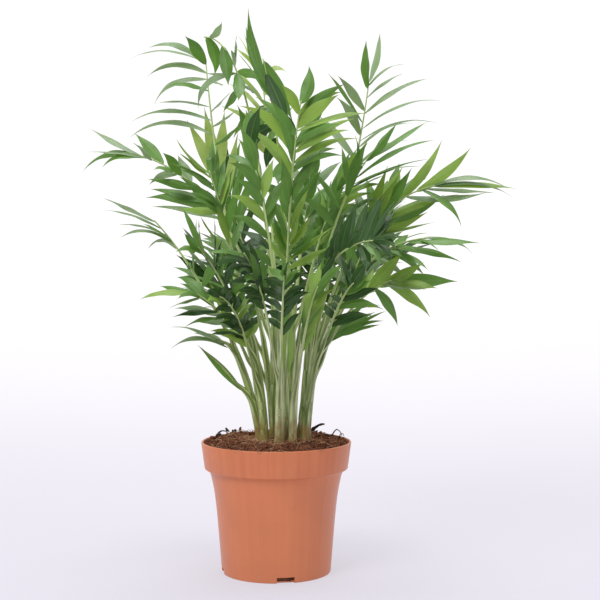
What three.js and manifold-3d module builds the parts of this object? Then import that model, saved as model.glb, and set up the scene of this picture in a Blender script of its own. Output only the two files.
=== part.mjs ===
// A parlour palm grown as a clump of young stems in a plastic nursery pot.
//
// Millimetres, +Z up. The origin is the centre of the pot's flat underside, and -Y is the
// front of the plant. The pot and the soil are turned shapes. Each stem is a tapered limb from
// its flat cut on the soil to its tip. Each frond is one thin blade: a petiole that leaves
// its stem, then the outline that its leaflets fill, folded along the rib, and the tip.

import * as THREE from "three";
import { mergeVertices } from "three/addons/utils/BufferGeometryUtils.js";
import Module from "manifold-3d";

// ---------------------------------------------------------------- driving dimensions

const CLEAR = 0.4;            // gap left between pieces that meet

const POT = {
  height: 105,
  rimRadius: 60,              // outside of the band at the lip
  bandFootRadius: 57.3,       // outside of the band at its lower edge
  bandFootZ: 83.6,
  wallTopZ: 81.5,
  baseRadius: 43.6,
  wallSlope: 0.08,            // the wall's spread for each millimetre of height
  wallFlare: 3.2,             // what the wall gains under the band
  flarePower: 6,
  baseRound: 1,
  lipRadius: 0.9,
  thickness: 1.6,
  floor: 1.8,
  facets: 40,
  wallSteps: 5,
  lipSteps: 3,
};

const DRAIN = {
  count: 4,
  width: 14,
  height: 3.6,
  innerRadius: 39.5,
  outerRadius: 48,
  turn: THREE.MathUtils.degToRad(9.6),
};

const SOIL = {
  level: 106,                 // the flat top that the stems stand on
  flatRadius: 38,
  edgeZ: 101.5,
};

const STEM = {
  footRadius: 3.2,
  tipRadius: 2.0,
  flare: 0.7,                 // extra radius right at the soil
  flareHeight: 6,
  lean: 0.5,                  // share of a stem's lean that it has from the start
  sides: 8,
  steps: 7,
};

const FROND = {
  ribRadius: 1.5,
  tipThickness: 0.5,
  seat: 1.8,                  // from a stem's skin to the axis of the petiole beside it
  tipSeat: 0.9,               // and from a stem's flat tip to the one that stands on it
  minBlade: 0.45,             // the blade's share of a frond's length
  maxBlade: 0.62,
  bladeLength: 150,
  upFold: THREE.MathUtils.degToRad(20),
  droop: 0.12,                // how far an edge hangs, as a share of its distance out
  petioleSteps: 4,
  bladeSteps: 10,
  topSpread: 0.06,            // how far a petiole turns from its stem's direction at the tip
  sideSpread: 0.22,           // and where it leaves the stem's side
};

const FIT = { step: 2, ribGap: 1.6, bladeHalf: 0.8, slack: 1.7, retreat: 0.9, passes: 12 };

// Stems: the foot on the soil (x, y), then the tip (x, y, z).
const STEMS = {
  1: { foot: [-12.5, -4], tip: [-34, -10, 182] },
  2: { foot: [-11, 8], tip: [-22, 17, 188] },
  3: { foot: [-9, -14], tip: [-16, -30, 178] },
  4: { foot: [-2, 2], tip: [-2, 4, 198] },
  5: { foot: [5, 12], tip: [2, 28, 192] },
  6: { foot: [7, -12], tip: [7, -22, 192] },
  7: { foot: [11, 3], tip: [12, 6, 204] },
  8: { foot: [12.5, -19], tip: [16, -38, 172] },
  9: { foot: [20, 13], tip: [32, 30, 186] },
  10: { foot: [21, -4], tip: [27, -8, 194] },
  11: { foot: [22, -13], tip: [33, -28, 180] },
  12: { foot: [24, 4.5], tip: [34, 10, 184] },
  13: { foot: [2, -23], tip: [3, -46, 168] },
  14: { foot: [-2, 20], tip: [-10, 40, 178] },
  15: { foot: [12, 21], tip: [14, 44, 180] },
};

// Half the width of a frond's blade, by the sort of leaflets it carries.
const HALF_WIDTH = {
  long: 44,
  arching: 50,
  broad: 36,
  front: 38,
  low: 36,
  small: 26,
  spear: 12,
  strap: 4.5,
};

// Fronds: the stem and the height where the petiole leaves it, the frond's tip, how far it
// arches over (as a share of its length), its roll about the rib in degrees, and its sort.
const FRONDS = {
  left_1: [4, 184, [-152, -20, 334], 0.8, 38, "long"],
  left_2: [1, 182, [-142, -44, 296], 0.98, 38, "long"],
  left_3: [3, 160, [-112, -55, 216], 0.95, 30, "low"],
  left_4: [1, 177, [-86, -24, 188], 0.5, 20, "low"],
  left_5: [14, 168, [-85, 95, 235], 0.75, 0, "low"],
  right_1: [12, 184, [190, -20, 304], 0.82, -48, "long"],
  right_2: [11, 180, [163, -58, 259], 0.79, -20, "long"],
  right_3: [11, 174, [142, -64, 230], 0.8, -30, "broad"],
  right_4: [12, 177, [86, -22, 204], 0.5, -20, "small"],
  right_5: [10, 194, [124, 10, 361], 0.85, -20, "long"],
  right_6: [12, 170, [140, 40, 252], 0.82, 0, "long"],
  top_1: [7, 204, [-22, -6, 447], 0.72, 0, "spear"],
  top_2: [2, 188, [-62, 88, 446], 0.52, 0, "arching"],
  top_3: [9, 186, [82, 78, 447], 0.8, 0, "arching"],
  top_4: [4, 198, [-66, 20, 427], 1.07, 0, "broad"],
  top_5: [6, 192, [25, -74, 394], 0.8, 0, "front"],
  top_6: [5, 192, [-12, 95, 430], 0.8, 0, "long"],
  top_7: [10, 165, [48, 50, 341], 0.8, 0, "long"],
  top_8: [7, 190, [74, 24, 342], 0.85, 0, "long"],
  top_9: [7, 176, [44, 110, 352], 0.85, 0, "long"],
  top_10: [2, 168, [-48, 100, 354], 0.85, 0, "long"],
  front_1: [13, 168, [-30, -62, 362], 0.75, 0, "front"],
  front_2: [3, 178, [-64, -60, 350], 0.8, 0, "long"],
  front_3: [3, 171, [-78, -100, 270], 0.85, 0, "long"],
  front_4: [13, 156, [-40, -110, 264], 1.05, 0, "long"],
  front_5: [8, 172, [88, -118, 262], 0.85, 0, "long"],
  front_6: [13, 142, [6, -145, 244], 0.82, 0, "low"],
  front_7: [8, 144, [38, -138, 238], 0.82, 0, "low"],
  front_8: [11, 170, [64, -112, 234], 0.8, 0, "low"],
  front_9: [3, 146, [-48, -108, 222], 0.85, 0, "low"],
  back_1: [14, 178, [-62, 140, 335], 0.85, 0, "long"],
  back_2: [15, 180, [40, 150, 318], 0.85, 0, "long"],
  back_3: [12, 154, [130, 82, 325], 0.82, 0, "long"],
  back_4: [9, 170, [100, 105, 300], 0.85, 0, "long"],
  back_5: [2, 150, [-45, 132, 262], 0.85, 0, "low"],
  back_6: [14, 158, [-24, 155, 266], 0.85, 0, "long"],
  back_7: [15, 160, [60, 148, 268], 0.85, 0, "long"],
  back_8: [9, 150, [92, 98, 218], 0.85, 0, "low"],
  back_9: [14, 144, [-78, 112, 214], 0.85, 0, "low"],
  back_10: [15, 142, [14, 150, 218], 0.85, 0, "low"],
  young_1: [1, 140, [-62, -16, 183], 0.32, 45, "strap"],
  young_2: [6, 150, [10, -42, 215], 0.4, 0, "strap"],
};

// ---------------------------------------------------------------- materials

const potPlastic = new THREE.MeshStandardMaterial({ color: 0xc77855, roughness: 0.42, metalness: 0 });
const soilFibre = new THREE.MeshStandardMaterial({ color: 0x6b4632, roughness: 0.95, metalness: 0 });

function stemSkin() {
  return new THREE.MeshStandardMaterial({ color: 0xa3b573, roughness: 0.5, metalness: 0 });
}

function frondGreen() {
  return new THREE.MeshStandardMaterial({
    color: 0x4f7f2e,
    roughness: 0.45,
    metalness: 0,
    side: THREE.DoubleSide,
  });
}

// ---------------------------------------------------------------- shared geometry

const UP = new THREE.Vector3(0, 0, 1);

const point = ([x, y, z]) => new THREE.Vector3(x, y, z);

/** A closed body through rings of the same count of points, with a fan over each end. */
function loft(rings) {
  const count = rings[0].length;
  const faces = [];
  for (let i = 1; i < rings.length; i += 1) {
    for (let k = 0; k < count; k += 1) {
      const next = (k + 1) % count;
      const low = (i - 1) * count;
      const high = i * count;
      faces.push(low + k, low + next, high + next);
      faces.push(low + k, high + next, high + k);
    }
  }
  const last = (rings.length - 1) * count;
  for (let k = 1; k < count - 1; k += 1) {
    faces.push(0, k + 1, k);
    faces.push(last, last + k, last + k + 1);
  }
  const geometry = new THREE.BufferGeometry().setFromPoints(rings.flat());
  geometry.setIndex(faces);
  geometry.computeVertexNormals();
  return geometry;
}

/** A turned body: the profile runs from the axis, out and up, and back to the axis. */
function turned(profile) {
  const geometry = new THREE.LatheGeometry(profile, POT.facets);
  return geometry.rotateX(Math.PI / 2);
}

function named(name, geometry, material) {
  const mesh = new THREE.Mesh(geometry, material);
  mesh.name = name;
  return mesh;
}

// ---------------------------------------------------------------- cutting

const wasm = await Module();
wasm.setup();

function toSolid(geometry) {
  const bare = geometry.clone();
  bare.deleteAttribute("normal");
  bare.deleteAttribute("uv");
  const merged = mergeVertices(bare);
  return new wasm.Manifold(new wasm.Mesh({
    numProp: 3,
    vertProperties: new Float32Array(merged.getAttribute("position").array),
    triVerts: new Uint32Array(merged.getIndex().array),
  }));
}

function fromSolid(solid) {
  const { vertProperties, triVerts } = solid.getMesh();
  const geometry = new THREE.BufferGeometry();
  geometry.setAttribute("position", new THREE.BufferAttribute(vertProperties, 3));
  geometry.setIndex(new THREE.BufferAttribute(triVerts, 1));
  geometry.computeVertexNormals();
  return geometry;
}

// ---------------------------------------------------------------- pot and soil

/** Outside radius of the pot's wall below the band. */
function wallRadius(z) {
  const rise = z / POT.wallTopZ;
  return POT.baseRadius + POT.wallSlope * z + POT.wallFlare * rise ** POT.flarePower;
}

/** Points up the wall, each moved in by an inset, from one height to the wall's top. */
function wallLine(fromZ, inset) {
  const line = [];
  for (let i = 0; i <= POT.wallSteps; i += 1) {
    const z = THREE.MathUtils.lerp(fromZ, POT.wallTopZ, i / POT.wallSteps);
    line.push(new THREE.Vector2(wallRadius(z) - inset, z));
  }
  return line;
}

function potProfile() {
  const lipZ = POT.height - POT.lipRadius;
  const lipCentre = POT.rimRadius - POT.lipRadius;
  const outside = [
    new THREE.Vector2(0, 0),
    new THREE.Vector2(POT.baseRadius - POT.baseRound, 0),
    ...wallLine(POT.baseRound, 0),
    new THREE.Vector2(POT.bandFootRadius, POT.bandFootZ),
  ];
  const lip = [];
  for (let i = 0; i <= POT.lipSteps; i += 1) {
    const angle = (Math.PI * i) / POT.lipSteps;
    lip.push(new THREE.Vector2(
      lipCentre + POT.lipRadius * Math.cos(angle),
      lipZ + POT.lipRadius * Math.sin(angle),
    ));
  }
  const inside = [
    new THREE.Vector2(POT.bandFootRadius - POT.thickness, POT.bandFootZ + POT.thickness),
    ...wallLine(POT.floor, POT.thickness).reverse(),
    new THREE.Vector2(0, POT.floor),
  ];
  return [...outside, ...lip, ...inside];
}

/** The nursery pot, with a drain notch cut through the corner of wall and base at each quarter. */
function makePot() {
  const depth = DRAIN.outerRadius - DRAIN.innerRadius;
  const middle = (DRAIN.outerRadius + DRAIN.innerRadius) / 2;
  let solid = toSolid(turned(potProfile()));
  for (let i = 0; i < DRAIN.count; i += 1) {
    const notch = new THREE.BoxGeometry(DRAIN.width, depth, 2 * DRAIN.height);
    notch.translate(0, -middle, 0);
    notch.rotateZ(DRAIN.turn + (2 * Math.PI * i) / DRAIN.count);
    solid = solid.subtract(toSolid(notch));
  }
  return named("pot", fromSolid(solid), potPlastic);
}

/** The soil fills the pot, and mounds from the band's inside up to the flat round the stems. */
function makeSoil() {
  const inset = POT.thickness + CLEAR;
  const ledgeZ = POT.bandFootZ + POT.thickness + CLEAR;
  const profile = [
    new THREE.Vector2(0, POT.floor + CLEAR),
    ...wallLine(POT.floor + CLEAR, inset),
    new THREE.Vector2(wallRadius(POT.wallTopZ) - inset, ledgeZ),
    new THREE.Vector2(POT.bandFootRadius - inset, ledgeZ + CLEAR),
    new THREE.Vector2(POT.rimRadius - inset - POT.lipRadius, SOIL.edgeZ),
    new THREE.Vector2(SOIL.flatRadius, SOIL.level),
    new THREE.Vector2(0, SOIL.level),
  ];
  return named("soil", turned(profile), soilFibre);
}

// ---------------------------------------------------------------- stems

/** The axis of a stem at a height: it leaves its foot with part of its lean and gains the rest. */
function stemAxis({ foot, tip }, z) {
  const rise = (z - SOIL.level) / (tip[2] - SOIL.level);
  const share = STEM.lean * rise + (1 - STEM.lean) * rise * rise;
  const x = THREE.MathUtils.lerp(foot[0], tip[0], share);
  const y = THREE.MathUtils.lerp(foot[1], tip[1], share);
  return new THREE.Vector3(x, y, z);
}

function stemDirection({ foot, tip }, z) {
  const height = tip[2] - SOIL.level;
  const rise = (z - SOIL.level) / height;
  const slope = (STEM.lean + 2 * (1 - STEM.lean) * rise) / height;
  return new THREE.Vector3((tip[0] - foot[0]) * slope, (tip[1] - foot[1]) * slope, 1).normalize();
}

function stemRadius({ tip }, z) {
  const rise = (z - SOIL.level) / (tip[2] - SOIL.level);
  const spread = Math.max(0, 1 - (z - SOIL.level) / STEM.flareHeight);
  return THREE.MathUtils.lerp(STEM.footRadius, STEM.tipRadius, rise) + STEM.flare * spread;
}

/** A stem of level rings, from the flat cut on the soil to the flat tip. */
function makeStem(number, stem) {
  const heights = [SOIL.level, SOIL.level + STEM.flareHeight];
  for (let i = 1; i <= STEM.steps; i += 1) {
    heights.push(THREE.MathUtils.lerp(heights[1], stem.tip[2], i / STEM.steps));
  }
  const rings = heights.map((z) => {
    const centre = stemAxis(stem, z);
    const radius = stemRadius(stem, z);
    return Array.from({ length: STEM.sides }, (_, k) => {
      const angle = (2 * Math.PI * k) / STEM.sides;
      return new THREE.Vector3(Math.cos(angle), Math.sin(angle), 0).multiplyScalar(radius).add(centre);
    });
  });
  return named(`stem_${number}`, loft(rings), stemSkin());
}

// ---------------------------------------------------------------- fronds

/** The rib's curve: it rises in its stem's direction, and arches over to the frond's tip. */
function ribCurve([stemNumber, height, tipPlace, arch]) {
  const stem = STEMS[stemNumber];
  const foot = stemAxis(stem, height);
  const tip = point(tipPlace);
  const heading = tip.clone().sub(foot).setZ(0).normalize();
  const atTip = height >= stem.tip[2];
  const start = stemDirection(stem, height)
    .addScaledVector(heading, atTip ? FROND.topSpread : FROND.sideSpread)
    .normalize();
  if (atTip) {
    foot.addScaledVector(UP, FROND.tipSeat);
  } else {
    foot.addScaledVector(heading, stemRadius(stem, height) + FROND.seat);
  }
  const middle = foot.clone().addScaledVector(start, arch * foot.distanceTo(tip));
  return { curve: new THREE.QuadraticBezierCurve3(foot, middle, tip), heading };
}

/** How wide the blade is at a share of its length, from its first leaflets to its tip. */
function bladeShape(share) {
  return Math.sin(Math.PI * share ** 0.7) ** 0.6;
}

/** Stations along a frond, each with its axes and the width of the blade to either side. */
function frondStations(frond) {
  const { curve, heading } = ribCurve(frond);
  const roll = THREE.MathUtils.degToRad(frond[4]);
  const halfWidth = HALF_WIDTH[frond[5]];
  const length = curve.getLength();
  const bladeShare = THREE.MathUtils.clamp(FROND.bladeLength / length, FROND.minBlade, FROND.maxBlade);
  const shares = [];
  for (let i = 0; i < FROND.petioleSteps; i += 1) {
    shares.push(((1 - bladeShare) * i) / FROND.petioleSteps);
  }
  for (let i = 0; i <= FROND.bladeSteps; i += 1) {
    shares.push(1 - bladeShare + (bladeShare * i) / FROND.bladeSteps);
  }
  return shares.map((share) => {
    const centre = curve.getPointAt(share);
    const along = curve.getTangentAt(share);
    const level = heading.clone().cross(UP);
    const above = level.clone().cross(along).normalize();
    const across = level.clone().multiplyScalar(Math.cos(roll)).addScaledVector(above, Math.sin(roll));
    above.copy(across).cross(along).normalize();
    const inBlade = Math.max(0, (share - 1 + bladeShare) / bladeShare);
    const width = Math.max(FROND.ribRadius, halfWidth * bladeShape(Math.min(1, inBlade)));
    const half = THREE.MathUtils.lerp(FROND.ribRadius, FROND.tipThickness, inBlade);
    return { centre, across, above, half, widths: { "-1": width, 1: width } };
  });
}

/** The outer edge of the blade on one side of a station: folded up, and hanging a little. */
function edgePoint(station, side) {
  const width = station.widths[side];
  const beyondRib = Math.max(0, width - FROND.ribRadius);
  return station.centre.clone()
    .addScaledVector(station.across, side * width * Math.cos(FROND.upFold))
    .addScaledVector(station.above, beyondRib * Math.sin(FROND.upFold))
    .addScaledVector(UP, -beyondRib * FROND.droop);
}

/** A grid of cells that tells whether a place is too near to something already there. */
class Crowd {
  constructor(cell) {
    this.cell = cell;
    this.cells = new Map();
  }

  key(x, y, z) {
    return `${x},${y},${z}`;
  }

  indices(place) {
    return [place.x, place.y, place.z].map((value) => Math.floor(value / this.cell));
  }

  add(place, radius, owner) {
    const key = this.key(...this.indices(place));
    if (!this.cells.has(key)) this.cells.set(key, []);
    this.cells.get(key).push({ place, radius, owner });
  }

  touches(place, radius, owner) {
    const [i, j, k] = this.indices(place);
    for (let x = i - 1; x <= i + 1; x += 1) {
      for (let y = j - 1; y <= j + 1; y += 1) {
        for (let z = k - 1; z <= k + 1; z += 1) {
          const others = this.cells.get(this.key(x, y, z)) ?? [];
          if (others.some((other) => other.owner !== owner
            && other.place.distanceTo(place) < other.radius + radius)) return true;
        }
      }
    }
    return false;
  }
}

const crowd = new Crowd(2 * (STEM.footRadius + FIT.slack));

function addStemToCrowd(number, stem) {
  for (let z = SOIL.level; z < stem.tip[2] + FIT.step; z += FIT.step) {
    const height = Math.min(z, stem.tip[2]);
    crowd.add(stemAxis(stem, height), stemRadius(stem, height), `stem_${number}`);
  }
}

function addRibToCrowd(name, stations) {
  for (let i = 1; i < stations.length; i += 1) {
    const from = stations[i - 1].centre;
    const to = stations[i].centre;
    const count = Math.ceil(from.distanceTo(to) / FIT.step);
    for (let k = 0; k < count; k += 1) {
      crowd.add(from.clone().lerp(to, k / count), FIT.ribGap, name);
    }
  }
}

/** Places spread over the blade between two stations on one side, from the rib outwards. */
function bladePlaces(inner, outer, side) {
  const edges = [edgePoint(inner, side), edgePoint(outer, side)];
  const width = Math.max(inner.widths[side], outer.widths[side]);
  const alongCount = Math.ceil(inner.centre.distanceTo(outer.centre) / FIT.step);
  const acrossCount = Math.ceil(width / FIT.step);
  const places = [];
  for (let k = 0; k <= acrossCount; k += 1) {
    const reach = k / acrossCount;
    for (let i = 0; i <= alongCount; i += 1) {
      const rib = inner.centre.clone().lerp(outer.centre, i / alongCount);
      const edge = edges[0].clone().lerp(edges[1], i / alongCount);
      places.push({ place: rib.lerp(edge, reach), reach });
    }
  }
  return places;
}

/** Draws one side of a blade in wherever it would meet a stem, a rib or an earlier blade. */
function drawIn(name, stations, side) {
  for (let pass = 0; pass < FIT.passes; pass += 1) {
    let changed = false;
    for (let i = FROND.petioleSteps + 1; i < stations.length; i += 1) {
      const pair = [stations[i - 1], stations[i]];
      const met = bladePlaces(...pair, side)
        .find(({ place }) => crowd.touches(place, FIT.bladeHalf + FIT.slack, name));
      if (!met) continue;
      for (const station of pair) {
        if (station.widths[side] <= FROND.ribRadius) continue;
        const width = station.widths[side] * met.reach * FIT.retreat;
        station.widths[side] = Math.max(station.half, width);
        changed = true;
      }
    }
    if (!changed) return;
  }
}

function addBladeToCrowd(name, stations) {
  for (let i = FROND.petioleSteps + 1; i < stations.length; i += 1) {
    for (const side of [-1, 1]) {
      if (stations[i].widths[side] <= FROND.ribRadius) continue;
      for (const { place } of bladePlaces(stations[i - 1], stations[i], side)) {
        crowd.add(place, FIT.bladeHalf, name);
      }
    }
  }
}

/** The blade as a body: at each station a flat diamond from edge to edge over the rib. */
function makeFrond(name, stations) {
  const rings = stations.map((station) => [
    edgePoint(station, 1),
    station.centre.clone().addScaledVector(station.above, -station.half),
    edgePoint(station, -1),
    station.centre.clone().addScaledVector(station.above, station.half),
  ]);
  return named(name, loft(rings), frondGreen());
}

// ---------------------------------------------------------------- the whole plant

function makePlant() {
  const group = new THREE.Group();
  group.add(makePot(), makeSoil());
  for (const [number, stem] of Object.entries(STEMS)) {
    group.add(makeStem(number, stem));
    addStemToCrowd(number, stem);
  }
  const fronds = Object.entries(FRONDS).map(([place, frond]) => ({
    name: `frond_${place}`,
    stations: frondStations(frond),
  }));
  for (const { name, stations } of fronds) addRibToCrowd(name, stations);
  for (const { name, stations } of fronds) {
    drawIn(name, stations, -1);
    drawIn(name, stations, 1);
    addBladeToCrowd(name, stations);
    group.add(makeFrond(name, stations));
  }
  return group;
}

export default makePlant();
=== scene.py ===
"""A parlour palm in its plastic nursery pot: pot, soil, stems, fronds and a studio stage.

Everything is in metres, +Z up, with the origin under the middle of the pot and -Y to the front.
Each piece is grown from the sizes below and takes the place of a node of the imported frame.
"""

import math
import random
from types import SimpleNamespace

import bmesh
import bpy
import numpy as np
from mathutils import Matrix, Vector, noise


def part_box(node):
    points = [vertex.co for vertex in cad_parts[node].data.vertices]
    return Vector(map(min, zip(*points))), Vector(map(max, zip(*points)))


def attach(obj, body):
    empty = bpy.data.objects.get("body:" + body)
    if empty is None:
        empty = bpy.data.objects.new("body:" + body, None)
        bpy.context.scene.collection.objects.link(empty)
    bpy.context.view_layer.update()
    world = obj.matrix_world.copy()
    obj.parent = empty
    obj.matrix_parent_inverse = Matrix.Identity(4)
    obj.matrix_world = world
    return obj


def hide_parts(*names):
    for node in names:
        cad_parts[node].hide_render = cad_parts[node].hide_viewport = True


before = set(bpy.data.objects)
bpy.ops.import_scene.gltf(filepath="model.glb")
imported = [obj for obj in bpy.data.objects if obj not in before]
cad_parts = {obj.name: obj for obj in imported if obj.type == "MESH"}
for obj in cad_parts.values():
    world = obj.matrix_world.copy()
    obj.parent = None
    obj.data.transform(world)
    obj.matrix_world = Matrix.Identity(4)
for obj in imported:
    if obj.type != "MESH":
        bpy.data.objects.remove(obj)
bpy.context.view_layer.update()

bl_info = {
    "name": "Potted Parlour Palm",
    "version": (1, 0, 0),
    "blender": (4, 5, 0),
    "location": "View3D > Sidebar > Palm",
    "description": "Grows a parlour palm in its nursery pot",
    "category": "Object",
}

BODY = "root"


def srgb(red, green, blue):
    """A colour given as 0 to 255 on screen, as the linear colour that shaders take."""
    shares = [value / 255 for value in (red, green, blue)]
    linear = [s / 12.92 if s <= 0.04045 else ((s + 0.055) / 1.055) ** 2.4 for s in shares]
    return (*linear, 1.0)


# ---------------------------------------------------------------- sizes of the pot and the soil

POT = SimpleNamespace(
    band_foot_radius=0.0573, band_foot_z=0.0836, wall_top_z=0.0815, base_radius=0.0436,
    wall_slope=0.08, wall_flare=0.0032, flare_power=6, lip_radius=0.0009,
    base_round=0.0012, wall_top_round=0.0008, band_round=0.0007, inner_round=0.001,
    recess_radius=0.036, recess_depth=0.0008, floor_z=0.0018, sides=200, wall_steps=16,
    lip_steps=9, sharp_edge=math.radians(38), dusty_to=0.020, smeared_from=0.099, smeared_to=0.105,
    streak=srgb(188, 92, 50), dust=srgb(168, 138, 118), smear=srgb(112, 72, 50),
)
DRAIN = SimpleNamespace(
    count=4, width=0.014, height=0.0048, inner=0.0395, outer=0.048, turn=math.radians(9.6),
    lumps=90, lump_sizes=(0.0008, 0.0011), lump_low=0.0014, lump_spread=0.46,
)
SOIL = SimpleNamespace(
    gap=0.0004, flat_radius=0.038, rings=46, sides=150, foot_z=0.0022, straw_radius=0.034,
    edge_drop=0.0035, top_drop=0.0005, lump_scale=95.0, lump_share=0.55, clod_scale=240.0, clod_share=0.25,
    lump_swells=(0.72, 1.2), fade=0.35, mottle=260.0,
)
# The soil's finishes after its own: each one's dark and light colour and how fine its mottle is.
SOIL_SORTS = (
    ("soil bark", srgb(40, 30, 26), srgb(84, 62, 52), 300.0),
    ("soil crumb", srgb(90, 52, 38), srgb(146, 92, 68), 420.0),
    ("soil tan fibre", srgb(136, 88, 64), srgb(174, 122, 92), 500.0),
    ("soil straw fibre", srgb(178, 136, 100), srgb(216, 182, 146), 500.0),
)
# What lies on the soil: how far it stays from the pot, its size, its width and height as shares
# of the size, how much of it stands out, and the finishes it is dealt.
LITTER = {
    "crumbs": (0.002, (0.0004, 0.0013), (0.5, 1.0), (0.4, 0.8), 0.3, (0, 2, 2, 1)),
    "chips": (0.007, (0.0016, 0.0036), (0.3, 0.6), (0.2, 0.4), 0.35, (1, 1, 2)),
}
FIBRE = SimpleNamespace(
    margin=0.0008, curl=0.5, wobble=0.35, steps=(0.0009, 0.0024), lifts=(0.0004, 0.0032), points=(8, 15),
    above_ground=0.0002, end_dip=0.0006, least_gap=1e-5, least_points=4, thickness=(0.00009, 0.00026),
    end_cut=0.25, sides=5, by_stems=(3, 4, 4), elsewhere=(2, 2, 3, 3, 3, 4),
)

# ---------------------------------------------------------------- sizes of the stems and fronds

STEM = SimpleNamespace(
    foot_radius=0.0032, tip_radius=0.0020, flare=0.0010, flare_height=0.008, sunk=0.002, lean=0.5,
    sides=22, ring_gap=0.0013, ridges=9, ridge_height=0.035, ridge_twist=37.5, plain_tip=0.008,
    first_mouth=(0.012, 0.024), mouth_gaps=(0.016, 0.030), slant=0.005, lip=0.00028,
)
# The stalks' markings, and the heights over which they change.
STALK = SimpleNamespace(
    patch=srgb(98, 118, 52), line=srgb(224, 234, 170), groove=srgb(66, 90, 30),
    greener=(0.170, 0.225), paler=(0.180, 0.230), foot_height=0.024, foot_swing=0.035,
)
SCRAP = SimpleNamespace(
    counts=(1, 3), feet=(-0.001, 0.004), heights=(0.005, 0.014), widths=(0.0008, 0.0020),
    peels=(0.0003, 0.0018), off_stem=0.0003, tip=0.0001, curl=0.0004, rows=7, columns=(1, 0.5, 0, -0.5, -1),
    sorts=(
        ("dry sheath", srgb(168, 136, 92), srgb(206, 180, 134), 240.0),
        ("old sheath", srgb(120, 90, 54), srgb(164, 124, 84), 240.0),
    ),
)

# The foot on the soil (x, y) and the tip (x, y, z) of each stem.
STEMS = {
    1: ((-.0125, -.004), (-.034, -.01, .182)), 2: ((-.011, .008), (-.022, .017, .188)),
    3: ((-.009, -.014), (-.016, -.03, .178)), 4: ((-.002, .002), (-.002, .004, .198)),
    5: ((.005, .012), (.002, .028, .192)), 6: ((.007, -.012), (.007, -.022, .192)),
    7: ((.011, .003), (.012, .006, .204)), 8: ((.0125, -.019), (.016, -.038, .172)),
    9: ((.02, .013), (.032, .03, .186)), 10: ((.021, -.004), (.027, -.008, .194)),
    11: ((.022, -.013), (.033, -.028, .18)), 12: ((.024, .0045), (.034, .01, .184)),
    13: ((.002, -.023), (.003, -.046, .168)), 14: ((-.002, .02), (-.01, .04, .178)),
    15: ((.012, .021), (.014, .044, .18)),
}
# The stems that are paler than the rest, and the greyer ones on the clump's right, whose grey-green is
# painted shade.
PALE_STEMS = (6, 8, 13)
SHADED_STEMS = (9, 10, 11, 12)
SOIL_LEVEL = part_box("stem_1")[0][2]
SOIL_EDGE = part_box("soil")[1][0]

RIB = SimpleNamespace(
    seat=0.0018, tip_seat=0.0009, top_spread=0.06, side_spread=0.22, min_blade=0.45, max_blade=0.62,
    blade_length=0.150, foot_radius=0.0017, neck_radius=0.0011, tip_radius=0.0005, sheath=0.034,
    sheath_over=0.0005, parting=0.022, sides=10, steps=54,
    samples=241, sheath_steps=15, past_leaves=0.002, sheath_ease=0.006, tip_reach=1.05, parted_from=0.3,
    strap_end=0.9, tip_slack=1e-6,
)

LEAF = SimpleNamespace(
    steps=16, columns=(1.0, 0.66, 0.34, 0.0, -0.34, -0.66, -1.0),
    pleats=(0.0, 0.9, -0.25, 1.0, -0.25, 0.9, 0.0), pleat_height=0.00022, fold=math.radians(17),
    foot_width=0.0011, tip_width=0.00008, ripple=0.00035, vee=math.radians(22), aside=0.42,
    bow_place=0.55, stoutest=0.30, last_width=1.15, widths=(0.88, 1.08), strap_start=0.12, strap_steps=26,
    fullest=0.80, shoulder=0.9, point=0.6, foot_share=0.2, folds=(0.6, 1.3), unfold=0.6,
    ripples=(9, 16), ripple_starts=(0, 6), hidden=(0.6, 1.1), row_values=5,
    # Mid is the leaves' own green; the other tones paint light and shade into it: deep is painted shade,
    # bright painted light, grey a painted sheen and pale painted light shining through the leaf.
    tones=("deep", "mid", "bright", "grey", "pale"),
    vein=srgb(176, 196, 118), dry_tip=srgb(138, 124, 70), underside=srgb(150, 172, 128),
)

# How the leaflets of a frond without rows of its own spread and vary along its rib.
HANG = SimpleNamespace(
    rib_end=0.8, offset=0.5, splay_loss=0.55, splay_power=1.5, foot_splay=math.radians(18), splay_stray=6,
    lifts=(0.55, 1.4), swell_least=0.74, swell=0.28, swell_rate=0.9, swell_start=0.12,
    lengths=(0.9, 1.08), widths=(0.85, 1.08), last_width=1.2, droops=(0.65, 1.35), sickles=(0.5, 1.3),
)


def kind(length, pairs, splay, droop, width, sky, sickle=10, twist=16):
    """A sort of frond: its leaflets' length, pairs, spread, hang, width and how far they face the sky."""
    return SimpleNamespace(
        length=length,
        pairs=pairs,
        splay=math.radians(splay),
        droop=math.radians(droop),
        width=width,
        sky=sky,
        sickle=math.radians(sickle),
        twist=math.radians(twist),
    )


KINDS = {
    "long": kind(0.066, 9, 48, 42, 0.0090, 0.6),
    "arching": kind(0.076, 9, 62, 72, 0.0092, 0.95),
    "broad": kind(0.056, 8, 45, 42, 0.0096, 0.5),
    "front": kind(0.058, 10, 36, 18, 0.0086, 0.1),
    "low": kind(0.052, 8, 50, 48, 0.0084, 0.7),
    "small": kind(0.042, 5, 42, 32, 0.0090, 0.6),
    "spear": kind(0.088, 4, 9, 6, 0.0100, 0.1),
    "strap": kind(0.0, 0, 0, 0, 0.0095, 0.0),
}
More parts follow.
